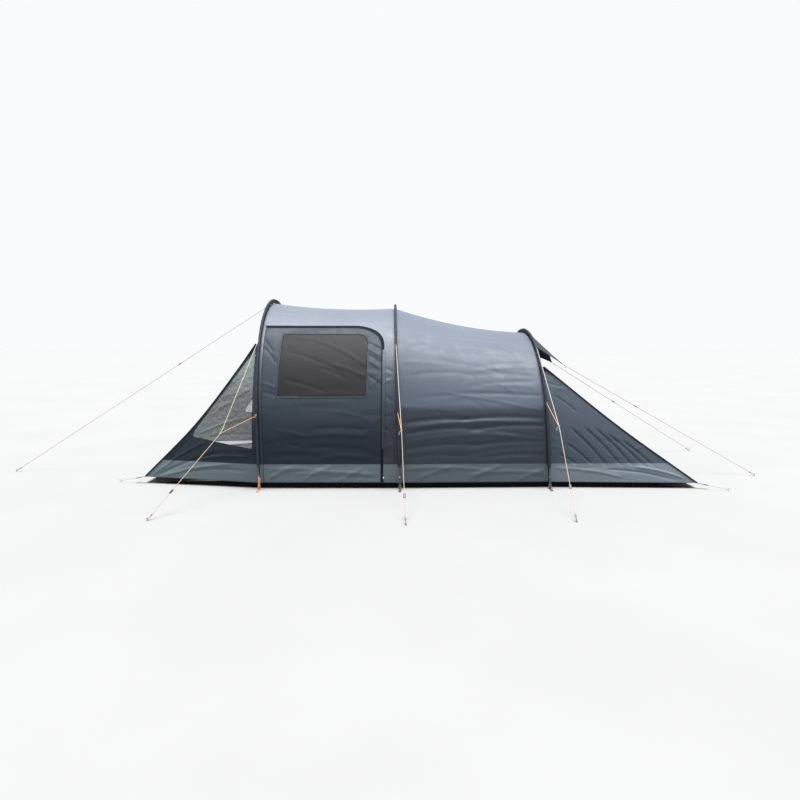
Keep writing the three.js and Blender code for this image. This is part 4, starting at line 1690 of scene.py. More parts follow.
DOOR_FOLDS = (
    Fold((-1.293, 1.329), (-1.184, 1.198), -0.0057, 0.0109),
    Fold((-1.265, 1.235), (-1.142, 1.098), -0.0057, 0.0109),
    Fold((-1.251, 0.920), (-1.129, 0.876), 0.0046, 0.0109),
    Fold((-1.244, 0.841), (-1.115, 0.806), -0.0046, 0.0109),
    Fold((-0.302, 1.282), (-0.178, 1.217), -0.0057, 0.0109),
    Fold((-0.299, 1.226), (-0.176, 1.152), 0.0046, 0.0109),
    Fold((-0.288, 1.171), (-0.175, 1.098), -0.0057, 0.0109),
    Fold((-0.286, 1.116), (-0.183, 1.044), 0.0046, 0.0109),
    Fold((-0.292, 0.991), (-0.172, 0.894), -0.0057, 0.0109),
    Fold((-0.271, 0.876), (-0.173, 0.973), 0.0046, 0.0109),
    Fold((-1.000, 1.339), (-0.659, 1.263), 0.0029, 0.0143),
    Fold((-0.659, 1.263), (-0.322, 1.080), 0.0029, 0.0143),
    Fold((-0.734, 1.053), (-0.500, 0.964), -0.0029, 0.0143),
    Fold((-0.598, 1.080), (-0.300, 0.964), 0.0029, 0.0143),
    Fold((-1.044, 0.947), (-0.676, 0.841), -0.0029, 0.0154),
    Fold((-1.026, 1.198), (-0.548, 1.018), -0.0024, 0.0143),
    Fold((-0.754, 0.520), (-0.293, 0.511), -0.0050, 0.0176),
    Fold((-0.886, 0.451), (-0.310, 0.459), 0.0042, 0.0165),
    Fold((-0.796, 0.355), (-0.309, 0.338), -0.0050, 0.0176),
    Fold((-0.707, 0.268), (-0.336, 0.277), 0.0042, 0.0165),
    Fold((-1.109, 0.503), (-0.842, 0.451), 0.0034, 0.0165),
    Fold((-1.017, 0.381), (-0.885, 0.372), -0.0046, 0.0149),
    Fold((-1.147, 0.093), (-0.971, 0.180), 0.0079, 0.0143),
    Fold((-0.838, 0.084), (-0.618, 0.189), 0.0079, 0.0143),
    Fold((-0.529, 0.075), (-0.335, 0.172), 0.0066, 0.0143),
    Fold((-1.15, 0.165), (-0.62, 0.150), 0.0060, 0.0130),
    Fold((-0.90, 0.128), (-0.24, 0.118), 0.0070, 0.0140),
    Fold((-0.62, 0.092), (-0.22, 0.098), -0.0050, 0.0120),
    Fold((-0.130, 1.05), (-0.060, 1.01), -0.0050, 0.0110),
    Fold((-0.135, 0.93), (-0.065, 0.95), 0.0045, 0.0110),
    Fold((-0.130, 0.80), (-0.070, 0.76), -0.0050, 0.0110),
    Fold((-0.130, 0.64), (-0.060, 0.67), 0.0045, 0.0110),
    Fold((-0.135, 0.52), (-0.065, 0.48), -0.0050, 0.0110),
    Fold((-0.130, 0.36), (-0.070, 0.39), 0.0045, 0.0110),
)
BEDROOM_FOLDS = (
    Fold((0.113, 1.253), (0.523, 1.243), -0.0030, 0.0200),
    Fold((0.451, 1.188), (1.123, 1.158), -0.0030, 0.0225),
    Fold((0.110, 0.990), (0.644, 0.997), -0.0030, 0.0213),
    Fold((0.596, 0.980), (1.250, 0.968), -0.0030, 0.0213),
    Fold((0.180, 0.788), (1.179, 0.793), -0.0025, 0.0187),
    Fold((0.000, 1.107), (0.370, 1.079), 0.0025, 0.0225),
    Fold((0.729, 0.891), (1.235, 0.871), 0.0025, 0.0200),
    Fold((0.044, 0.572), (0.624, 0.597), -0.0067, 0.0183),
    Fold((0.535, 0.588), (1.297, 0.603), -0.0060, 0.0183),
    Fold((0.044, 0.477), (0.711, 0.519), -0.0074, 0.0196),
    Fold((0.622, 0.502), (1.337, 0.543), -0.0074, 0.0196),
    Fold((0.089, 0.528), (1.249, 0.560), 0.0052, 0.0160),
    Fold((0.044, 0.338), (0.708, 0.380), -0.0060, 0.0196),
    Fold((0.619, 0.363), (1.347, 0.397), -0.0060, 0.0196),
    Fold((0.133, 0.416), (1.065, 0.449), 0.0037, 0.0171),
    Fold((0.044, 0.268), (0.618, 0.276), -0.0045, 0.0171),
    Fold((0.707, 0.259), (1.344, 0.285), -0.0045, 0.0171),
    Fold((0.176, 0.093), (0.441, 0.180), 0.0068, 0.0163),
    Fold((0.618, 0.084), (0.883, 0.189), 0.0068, 0.0163),
    Fold((1.059, 0.075), (1.306, 0.163), 0.0068, 0.0163),
    Fold((0.050, 0.170), (0.800, 0.150), 0.0060, 0.0130),
    Fold((0.600, 0.118), (1.300, 0.128), 0.0060, 0.0140),
)


@dataclass
class Bay:
    """The panel between two hoops: its sag and its folds."""

    first: Hoop
    second: Hoop
    sag: float
    folds: tuple[Fold, ...]
    seed: int
    columns: int = 104
    rows: int = 370
    edge_calm: float = 0.05

    def surface(self) -> Surface:
        """The panel's middle surface, with folds.

        Returns:
            Rows run over the tent from the near hem, columns from the first hoop to the second.
        """
        v = np.linspace(0, 1, self.rows)
        u = np.linspace(0, 1, self.columns)
        start = self.first.line(FABRIC_INSET, HEM_Z)
        a = start.at(v)
        b = self.second.line(FABRIC_INSET, HEM_Z).at(v)
        a[:, 0] += SEAM
        b[:, 0] -= SEAM
        grid = a[:, None] * (1 - u)[None, :, None] + b[:, None] * u[None, :, None]
        dip = self.sag * 4 * u * (1 - u) * np.sin(np.pi * v)[:, None]
        span = np.hypot(grid[..., 1], grid[..., 2])
        grid[..., 1] -= dip * grid[..., 1] / span
        grid[..., 2] -= dip * grid[..., 2] / span
        surface = Surface(grid, ((self.first.foot_x + self.second.foot_x) / 2, 0.0, 0.2))
        surface.push(self._lift(grid, v, u, start.length))
        return surface

    def _lift(self, grid: Array, v: Array, u: Array, length: float) -> Array:
        """Lift of every fold at every point.

        Args:
            grid: The panel's points.
            v: Share of the way over the tent, by row.
            u: Share between the hoops, by column.
            length: Arc length over the tent.

        Returns:
            The lift as (rows, columns).
        """
        x, y, z = grid[..., 0], grid[..., 1], grid[..., 2]
        lift = np.zeros(x.shape)
        near = np.clip((1.42 - z) / 0.06, 0, 1) * (y < 0)
        far = np.clip((1.42 - z) / 0.06, 0, 1) * (y > 0)
        middle = (self.first.foot_x + self.second.foot_x) / 2
        for fold in self.folds:
            lift += near * fold.lift(x, z)
            lift += far * fold.lift(2 * middle - x, z + 0.013)
        arc = v[:, None] * length
        low, high = self.first.foot_x + 0.1, self.second.foot_x - 0.1
        folds = scattered_folds(self.seed, 46, (low, 0.1), (high, length - 0.1), 0.22, (0.3, 0.9), 0.0032)
        add_folds(lift, folds, x, arc)
        folds = scattered_folds(self.seed + 1, 60, (low, 0.1), (high, length - 0.1), 1.2, (0.12, 0.3), 0.0018)
        add_folds(lift, folds, x, arc)
        calm = np.clip(np.minimum(u, 1 - u) / self.edge_calm, 0, 1)
        return lift * calm[None, :]


DOOR_FRONT_GAP = 0.035
DOOR_REAR_X = -0.160
DOOR_TOP_Z = 1.437
DOOR_CORNER_X = 0.250
DOOR_CORNER_Z = 0.190
DOOR_HEM_Z = 0.051
FLAP_BASE_Z = 0.345
FLAP_TOP_Z = 1.215
WINDOW_FRONT_X = -1.110
WINDOW_REAR_X = -0.305
WINDOW_BASE_Z = 0.800
WINDOW_TOP_Z = 1.362
WINDOW_CORNER = 0.095
NEAR_WALL = (-1.4, -0.45)
NEAR_SEAM_ROWS = (0.0035, 0.040)
FAR_SEAM_ROWS = (0.9965, 0.960)
STITCH_LIFT = FABRIC / 2 + 0.0004
ZIP_FOOT_Z = DOOR_HEM_Z + 0.004


def curve_points(start: Array, controls: Sequence[Array], end: Array, count: int = 14) -> Array:
    """Points of a quadratic or cubic Bezier curve, without its first.

    Args:
        start: Its start.
        controls: One or two control points.
        end: Its end.
        count: Number of points.

    Returns:
        The points.
    """
    t = np.linspace(0, 1, count + 1)[1:, None]
    if len(controls) == 1:
        return (1 - t) ** 2 * start + 2 * t * (1 - t) * controls[0] + t**2 * end
    first, second = controls
    return (1 - t) ** 3 * start + 3 * t * (1 - t) ** 2 * first + 3 * t**2 * (1 - t) * second + t**3 * end


def door_line(grow: float) -> Array:
    """The side door's outline from its front foot round to its front top corner, as (x, z).

    Args:
        grow: How far it is moved outwards.

    Returns:
        The points, anticlockwise.
    """
    lean = (FRONT_HOOP.apex_x - FRONT_HOOP.foot_x) / FRONT_HOOP.height

    def front(z: float) -> float:
        """X of the front edge at a height."""
        return FRONT_HOOP.foot_x + lean * z + DOOR_FRONT_GAP - grow

    top, rear, base = DOOR_TOP_Z + grow, DOOR_REAR_X + grow, DOOR_HEM_Z - grow
    turn = np.array([rear, top - DOOR_CORNER_Z])
    end = np.array([rear - DOOR_CORNER_X, top])
    controls = [
        np.array([rear, top - DOOR_CORNER_Z * 0.4]),
        np.array([rear - DOOR_CORNER_X * 0.35, top - 0.020]),
    ]
    curve = curve_points(turn, controls, end)
    return np.vstack([[front(base), base], [rear, base], turn, curve, [front(top), top]])


def window_line(grow: float) -> Array:
    """The door window's outline, as (x, z).

    Args:
        grow: How far it is moved outwards.

    Returns:
        The points, anticlockwise.
    """
    front, rear = WINDOW_FRONT_X - grow, WINDOW_REAR_X + grow
    base, top = WINDOW_BASE_Z - grow, WINDOW_TOP_Z + grow
    turn = np.array([rear, top - WINDOW_CORNER])
    end = np.array([rear - WINDOW_CORNER, top])
    curve = curve_points(turn, [np.array([rear, top])], end, 8)
    return np.vstack([[front, base], [rear, base], turn, curve, [front, top]])


def closed_line(line: Array) -> Array:
    """A line with its first point added at its end."""
    return np.vstack([line, line[:1]])


class NearWall:
    """Finds the cloth's place in the near wall of a bay for given x and z."""

    def __init__(self, surface: Surface, length: float) -> None:
        """Keeps the near half of the surface.

        Args:
            surface: The bay's cloth.
            length: Arc length of the cloth over the tent.
        """
        rows = surface.grid.shape[0] // 2
        self.length = length
        self.surface = surface
        self.half = surface.grid[: rows + 1]
        self.share = rows / (surface.grid.shape[0] - 1)

    def shares(self, line: Array) -> tuple[Array, Array]:
        """Shares of rows and columns at (x, z) points.

        Args:
            line: Rows of x and z.

        Returns:
            Row shares and column shares.
        """
        x, z = self.half[..., 0], self.half[..., 2]
        down = np.linspace(0, 1, x.shape[0])
        across = np.linspace(0, 1, x.shape[1])
        rows, columns = [], []
        for want_x, want_z in line:
            c = float(np.interp(want_x, x[0], across))
            r = 0.5
            for _ in range(6):
                j = min(int(round(c * (x.shape[1] - 1))), x.shape[1] - 1)
                r = float(np.interp(want_z, np.maximum.accumulate(z[:, j]), down))
                i = min(int(round(r * (x.shape[0] - 1))), x.shape[0] - 1)
                c = float(np.interp(want_x, x[i], across))
            rows.append(r * self.share)
            columns.append(c)
        return np.array(rows), np.array(columns)

    def cut(self, line: Array) -> float:
        """Area inside an (x, z) outline once the wall is laid flat."""
        line = respaced(closed_line(line), 400)
        rows, _ = self.shares(line)
        return outline_area(np.column_stack([line[:, 0], rows * self.length]))

    def trace(self, line: Array, count: int, lift: float) -> tuple[Array, Array]:
        """A line of (x, z) laid on the cloth.

        Args:
            line: The line's corners.
            count: Number of points.
            lift: Distance off the cloth's middle.

        Returns:
            Points and outward normals.
        """
        rows, columns = self.shares(respaced(line, count))
        return self.surface.read(soften(rows), soften(columns), lift)


def soften(values: Array, passes: int = 2) -> Array:
    """Evens out a list of numbers, its ends kept."""
    values = np.array(values, dtype=float)
    for _ in range(passes):
        values[1:-1] = (values[:-2] + 2 * values[1:-1] + values[2:]) / 4
    return values


def along_stitches(name: str, paths: Sequence[tuple[Array, Array]], pitch: float = 0.009) -> bpy.types.Object:
    """Rows of thread stitches laid on cloth.

    Args:
        name: Object name.
        paths: Points and normals of each row.
        pitch: Distance between stitches.

    Returns:
        The stitches.
    """
    sizes = RepeatSizes(pitch, pitch * 0.66, 0.0012, 0.0011)
    return PathRepeater.run(name, Repeat.STITCH, paths, sizes, Finish.THREAD)


@dataclass
class Tunnel:
    """The fly's two bays: the living bay with its side door, and the bedroom bay."""

    living: Bay = field(default_factory=lambda: Bay(FRONT_HOOP, MIDDLE_HOOP, 0.030, DOOR_FOLDS, 11))
    bedroom: Bay = field(default_factory=lambda: Bay(MIDDLE_HOOP, REAR_HOOP, 0.050, BEDROOM_FOLDS, 23, columns=110))

    def build(self) -> None:
        """Builds both bays, the door and everything sewn to them."""
        surface = self.living.surface()
        ends = [hoop.line(FABRIC_INSET, HEM_Z).length for hoop in (FRONT_HOOP, MIDDLE_HOOP)]
        wall = NearWall(surface, sum(ends) / 2)
        self._living(surface, wall)
        self._door(surface, wall)
        self._zip(wall)
        rear = self.bedroom.surface()
        piece = settle(rear.shell("bedroom_fly"), Finish.FLY, replaces=["fly_bedroom"])
        self._seams("bedroom", rear, (*NEAR_SEAM_ROWS, *FAR_SEAM_ROWS))

    def _living(self, surface: Surface, wall: NearWall) -> None:
        """The living bay's panel with the door's opening."""
        piece = surface.shell("living_fly")
        line = door_line(CUT_GAP)
        line[0, 1] = line[1, 1] = HEM_Z - 0.03
        cutter = prism(line, *NEAR_WALL)
        carve(piece, [(cutter, Carve.REMOVE)])
        drop(cutter)
        settle(piece, Finish.LIVING_FLY, replaces=["fly_living"])
        cut = surface.cut - wall.cut(door_line(0.0))
        self._seams("living", surface, FAR_SEAM_ROWS)

    def _seams(self, name: str, surface: Surface, rows: Sequence[float]) -> None:
        """Stitch rows beside the hoops and across the bay.

        Args:
            name: Bay's name.
            surface: Its cloth.
            rows: Row shares of the stitch rows across it.
        """
        along = np.linspace(0.004, 0.996, 500)
        across = np.linspace(0.02, 0.98, 160)
        paths = [surface.read(along, np.full(500, c), STITCH_LIFT) for c in (0.985, 0.978, 0.015, 0.022)]
        paths += [surface.read(np.full(160, row), across, STITCH_LIFT) for row in rows]
        settle(along_stitches(f"{name}_seams", paths, 0.012), Finish.THREAD)

    def _door(self, surface: Surface, wall: NearWall) -> None:
        """The door panel, its net window, tapes and hem."""
        cut = door_line(-CUT_GAP / 2)
        outer, inner = prism(cut, *NEAR_WALL), prism(window_line(0.0), *NEAR_WALL)
        pane_cut = prism(window_line(-CUT_GAP / 2), *NEAR_WALL)
        panel = surface.shell("door_panel")
        carve(panel, [(outer, Carve.KEEP)])
        pane = copy_of(panel, "door_net")
        carve(panel, [(inner, Carve.REMOVE)])
        carve(pane, [(pane_cut, Carve.KEEP)])
        drop(outer, inner, pane_cut)
        settle(panel, Finish.DOOR_FLY, "side_door", ["side_door"])
        settle(pane, Finish.NET, "side_door", ["side_door_mesh"])
        window = wall.cut(window_line(0.0))
        wall.cut(door_line(0.0)) - window
        points, normals = wall.trace(closed_line(window_line(0.006)), 260, FABRIC / 2 + 0.0007)
        binding = ribbon("window_binding", points, normals, 0.014, 0.0014)
        settle(binding, Finish.DOOR_FLY, "side_door")
        rows = [wall.trace(closed_line(window_line(g)), 300, FABRIC / 2 + 0.0016) for g in (0.002, 0.011)]
        hem = np.array([[-1.19, 0.064], [-0.165, 0.064]])
        rows.append(wall.trace(hem, 120, STITCH_LIFT))
        band = np.array([[-1.20, BAND_TOP_Z], [-0.165, BAND_TOP_Z]])
        rows.append(wall.trace(band, 120, STITCH_LIFT))
        settle(along_stitches("door_seams", rows, 0.011), Finish.THREAD, "side_door")

    def _zip(self, wall: NearWall) -> None:
        """The door's zip with its tapes, teeth, slider and guard flap, and the door's hinge tape."""
        middle = np.vstack([[DOOR_REAR_X, ZIP_FOOT_Z], door_line(0.0)[2:]])
        for name, grow, body in (("fly_zip_tape", 0.0075, ROOT), ("door_zip_tape", -0.0085, "side_door")):
            edge = door_line(grow)[1:]
            edge[0, 1] = ZIP_FOOT_Z
            points, normals = wall.trace(edge, 300, FABRIC / 2 + 0.0013)
            wide = 0.5 + 0.25 * np.clip((points[:, 2] - 1.05) / 0.12, 0, 1)
            tape = sweep(name, points, flat_section(0.015, 0.0018), up=normals, scale=wide)
            settle(tape, Finish.TAPE, body)
        points, normals = wall.trace(middle, 400, FABRIC / 2 + 0.0022)
        teeth = PathRepeater.run(
            "zip_teeth", Repeat.TOOTH, [(points, normals)], RepeatSizes(0.0045, 0.0036, 0.0075, 0.0022), Finish.TAPE
        )
        settle(teeth, Finish.TAPE)
        flap_x = DOOR_REAR_X + 0.0125
        flap = np.array([[flap_x, FLAP_BASE_Z], [flap_x, FLAP_TOP_Z]])
        points, normals = wall.trace(flap, 120, FABRIC / 2 + 0.0052)
        guard = ribbon("zip_guard_flap", points, normals, 0.031, 0.0016)
        settle(guard, Finish.LIVING_FLY)
        hinge = door_line(0.0)[[0, -1]]
        hinge[0, 1] = ZIP_FOOT_Z
        points, normals = wall.trace(hinge, 200, -FABRIC / 2 - 0.0012)
        tape = ribbon("door_hinge_tape", points, normals, 0.014, 0.0014)
        settle(tape, Finish.SLEEVE, "side_door")
        self._slider()

    def _slider(self) -> None:
        """The zip slider: a waisted body with a bridge and a cord puller."""
        low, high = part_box("door_zip_slider")
        x = (low.x + high.x) / 2
        y = high.y - 0.004
        top = high.z
        body_path = np.array([[x, y, top - drop_z] for drop_z in (0.020, 0.014, 0.007, 0.0)])
        waist = np.array([0.8, 0.95, 1.0, 0.82])
        body = sweep("slider_body", body_path, flat_section(0.0135, 0.0075), up=(0, -1, 0), scale=waist)
        foot, crown = y - 0.003, low.y + 0.001
        corners = [(x, foot, top - 0.003), (x, crown, top - 0.006), (x, crown, top - 0.014), (x, foot, top - 0.017)]
        bridge_path = smooth_path(corners, 20, 0.003)
        bridge = sweep("slider_bridge", bridge_path, round_section(0.0011, 8), up=(1, 0, 0))
        puller_path = np.array([[x, low.y + 0.0018, top - 0.013 - k] for k in np.linspace(0, 0.034, 12)])
        flare = np.linspace(0.6, 1.0, 12)
        puller = sweep("slider_puller", puller_path, flat_section(0.0078, 0.0024), up=(0, -1, 0), scale=flare)
        for part in (body, bridge):
            Wardrobe.dress(part, Finish.STEEL)
        Wardrobe.dress(puller, Finish.PLASTIC)
        settle(join("slider", [body, bridge, puller]), Finish.STEEL, "zip_slider", ["door_zip_slider"])


# ---- wedge ends -----------------------------------------------------------------------------------------


FRONT_GORE_FOLDS = (
    Fold((-2.240, 0.090), (-1.780, 0.380), 0.0078, 0.0117),
    Fold((-2.200, 0.080), (-1.620, 0.300), -0.0078, 0.0117),
    Fold((-2.160, 0.070), (-1.520, 0.200), 0.0078, 0.0117),
    Fold((-2.140, 0.170), (-1.900, 0.420), -0.0065, 0.0099),
    Fold((-1.950, 0.120), (-1.400, 0.150), -0.0065, 0.0108),
    Fold((-1.800, 0.240), (-1.360, 0.270), 0.0065, 0.0108),
    Fold((-1.720, 0.620), (-1.360, 0.860), 0.0065, 0.0126),
    Fold((-1.660, 0.780), (-1.380, 1.020), -0.0052, 0.0108),
    Fold((-1.800, 0.470), (-1.350, 0.620), 0.0065, 0.0117),
    Fold((-1.700, 0.430), (-1.340, 0.470), -0.0052, 0.0099),
)
REAR_GORE_FOLDS = (
    Fold((1.560, 0.500), (1.830, 0.200), -0.0128, 0.0104),
    Fold((1.680, 0.510), (1.950, 0.210), -0.0135, 0.0104),
    Fold((1.790, 0.490), (2.060, 0.200), -0.0128, 0.0104),
    Fold((1.500, 0.380), (1.700, 0.210), -0.0105, 0.0096),
    Fold((1.890, 0.450), (2.160, 0.200), -0.0120, 0.0096),
    Fold((2.020, 0.390), (2.240, 0.200), -0.0105, 0.0088),
    Fold((1.430, 0.290), (1.560, 0.210), -0.0090, 0.0088),
    Fold((2.100, 0.180), (2.500, 0.090), 0.0090, 0.0088),
    Fold((1.850, 0.160), (2.420, 0.075), -0.0075, 0.0096),
    Fold((1.400, 0.170), (1.950, 0.100), 0.0060, 0.0104),
    Fold((1.420, 0.800), (1.600, 0.660), -0.0060, 0.0112),
)


@dataclass
class Wedge:
    """One end of the fly: near gore, sloping panel and far gore wrapped round two piped edges."""

    end: End
    hoop: Hoop
    edge: tuple[tuple[float, float, float], ...]
    slack: float
    folds: tuple[Fold, ...]
    seed: int
    gore_columns: int = 100
    slope_columns: int = 100
    rows: int = 150

    def surface(self) -> Surface:
        """The end's middle surface.

        Returns:
            Rows go up from the hem, columns from the near hoop round to the far hoop.
        """
        seam = SEAM * self.end.value
        v = np.linspace(0, 1, self.rows)
        hoop_line = self.hoop.line(FABRIC_INSET, HEM_Z, self.edge[0][2]).at(v)
        hoop_line[:, 0] += seam
        far = spline(self.edge[::-1]).at(v)
        near = far * (1, -1, 1)
        far_hoop = hoop_line * (1, -1, 1)
        g = np.linspace(0, 1, self.gore_columns, endpoint=False)[None, :, None]
        w = np.linspace(0, 1, self.slope_columns, endpoint=False)[None, :, None]
        last = np.linspace(0, 1, self.gore_columns)[None, :, None]
        near_gore = hoop_line[:, None] * (1 - g) + near[:, None] * g
        slope = near[:, None] * (1 - w) + far[:, None] * w
        dip = self.slack * 4 * w * (1 - w) * np.sin(np.pi * v)[:, None, None]
        slope = slope + dip * np.array([-self.end.value * 0.6, 0.0, -0.8])
        far_gore = far[:, None] * (1 - last) + far_hoop[:, None] * last
        grid = np.concatenate([near_gore, slope, far_gore], axis=1)
        surface = Surface(grid, (self.hoop.foot_x - 0.2 * self.end.value, 0.0, 0.1))
        surface.push(self._lift(surface))
        return surface

    def gore_stretch(self) -> float:
        """How much larger a gore is than its own outline seen square from the side."""
        v = np.linspace(0, 1, self.rows)
        inner = self.hoop.line(FABRIC_INSET, HEM_Z, self.edge[0][2]).at(v)
        gore = np.stack([inner, spline(self.edge[::-1]).at(v) * (1, -1, 1)], axis=1)
        return patch_area(gore) / patch_area(gore * (1, 0, 1))

    def _lift(self, surface: Surface) -> Array:
        """Lift of the folds, calm at the edges and seams."""
        grid = surface.grid
        columns = grid.shape[1]
        steps = np.linalg.norm(np.diff(grid, axis=1), axis=2)
        across = np.concatenate([np.zeros((self.rows, 1)), np.cumsum(steps, axis=1)], axis=1)
        across -= across[:, columns // 2, None]
        up = np.concatenate([[0.0], np.cumsum(np.linalg.norm(np.diff(grid[:, columns // 2], axis=0), axis=1))])
        height = np.broadcast_to(up[:, None], across.shape)
        half = float(across.max())
        lift = np.zeros(across.shape)
        folds = scattered_folds(self.seed, 44, (-half, 0.05), (half, up[-1]), 0.35, (0.25, 0.8), 0.0045)
        add_folds(lift, folds, across, height)
        folds = scattered_folds(self.seed + 1, 60, (-half, 0.05), (half, up[-1]), 1.3, (0.1, 0.3), 0.0022)
        add_folds(lift, folds, across, height)
        x, y, z = grid[..., 0], grid[..., 1], grid[..., 2]
        index = np.arange(columns)
        for fold in self.folds:
            pull = fold.lift(x, z)
            lift += pull * (index < self.gore_columns)[None, :]
            lift += pull * (index > self.gore_columns + self.slope_columns)[None, :]
        seams = (0, self.gore_columns, self.gore_columns + self.slope_columns, columns - 1)
        gap = np.min([np.abs(index - s) for s in seams], axis=0)
        v = np.linspace(0, 1, self.rows)
        calm = np.clip(gap / 5, 0, 1)[None, :] * np.clip(np.minimum(v, 1 - v) / 0.03, 0.15, 1)[:, None]
        return lift * calm

    def arch(self, edge_x: float, edge_y: float, base_z: float, arch_z: float, seed: int) -> Surface:
        """The upright panel between the end's top edge and the hoop.

        Args:
            edge_x: X of its lower edge.
            edge_y: Half width of its lower edge.
            base_z: Height of its lower edge.
            arch_z: Height at which the hoop's arch starts.
            seed: Seed of its folds.

        Returns:
            Rows go up, columns go across.
        """
        u = np.linspace(0, 1, 120)
        top = self.hoop.line(FABRIC_INSET, arch_z).at(u)
        top[:, 0] += SEAM * self.end.value
        low = np.column_stack([np.full(120, edge_x), edge_y * (2 * u - 1), np.full(120, base_z)])
        v = np.linspace(0, 1, 40)[:, None, None]
        surface = Surface(low[None] * (1 - v) + top[None] * v, (self.hoop.foot_x - 0.6 * self.end.value, 0.0, 0.8))
        across, height = surface.grid[..., 1], surface.grid[..., 2]
        lift = np.zeros(across.shape)
        folds = scattered_folds(seed, 16, (-0.8, base_z), (0.8, 1.6), 0.5, (0.15, 0.6), 0.003)
        add_folds(lift, folds, across, height)
        calm = np.clip(np.minimum(u, 1 - u) / 0.05, 0, 1)[None] * np.sin(np.pi * v[..., 0])
        surface.push(lift * calm)
        return surface

    def piping(self) -> None:
        """Corded piping along both edges of the slope."""
        for side in Side:
            line = spline(self.edge).at(np.linspace(0, 1, 120)) * (1, side.value, 1)
            out = unit(np.array([self.end.value * 0.5, side.value * 0.8, 0.3]))
            name = f"piping_{self.end.word}_{side.word}"
            tube = sweep(name, line + out * 0.004, round_section(0.0065, 10), up=(0.0, 1.0, 0.2))
            settle(tube, Finish.SLEEVE)

    def seams(self, surface: Surface) -> None:
        """Stitch rows along the hoops, the piping and the hem.

        Args:
            surface: The end's cloth.
        """
        columns = surface.grid.shape[1] - 1
        up = np.linspace(0.01, 0.99, 220)
        first, second = self.gore_columns, self.gore_columns + self.slope_columns
        paths = []
        for base, step in ((0, 1), (first, -1), (first, 1), (second, -1), (second, 1), (columns, -1)):
            paths.append(surface.read(up, np.full(220, (base + step * 1.2) / columns), STITCH_LIFT))
        around = np.linspace(0.01, 0.99, 420)
        paths.append(surface.read(np.full(420, 0.012), around, STITCH_LIFT))
        settle(along_stitches(f"{self.end.word}_end_seams", paths, 0.012), Finish.THREAD)


PORCH_WINDOW = ((-1.345, 1.215), (-1.312, 0.345), (-1.900, 0.428), (-1.885, 0.480))
WINDOW_CENTRE = (-1.480, 0.640)


def porch_window_line(grow: float) -> Array:
    """The clear window's outline in a porch gore, as (x, z)."""
    centre = np.array(WINDOW_CENTRE)
    out = np.array(PORCH_WINDOW) - centre
    reach = np.linalg.norm(out, axis=1, keepdims=True)
    return centre + out * (reach + grow) / reach


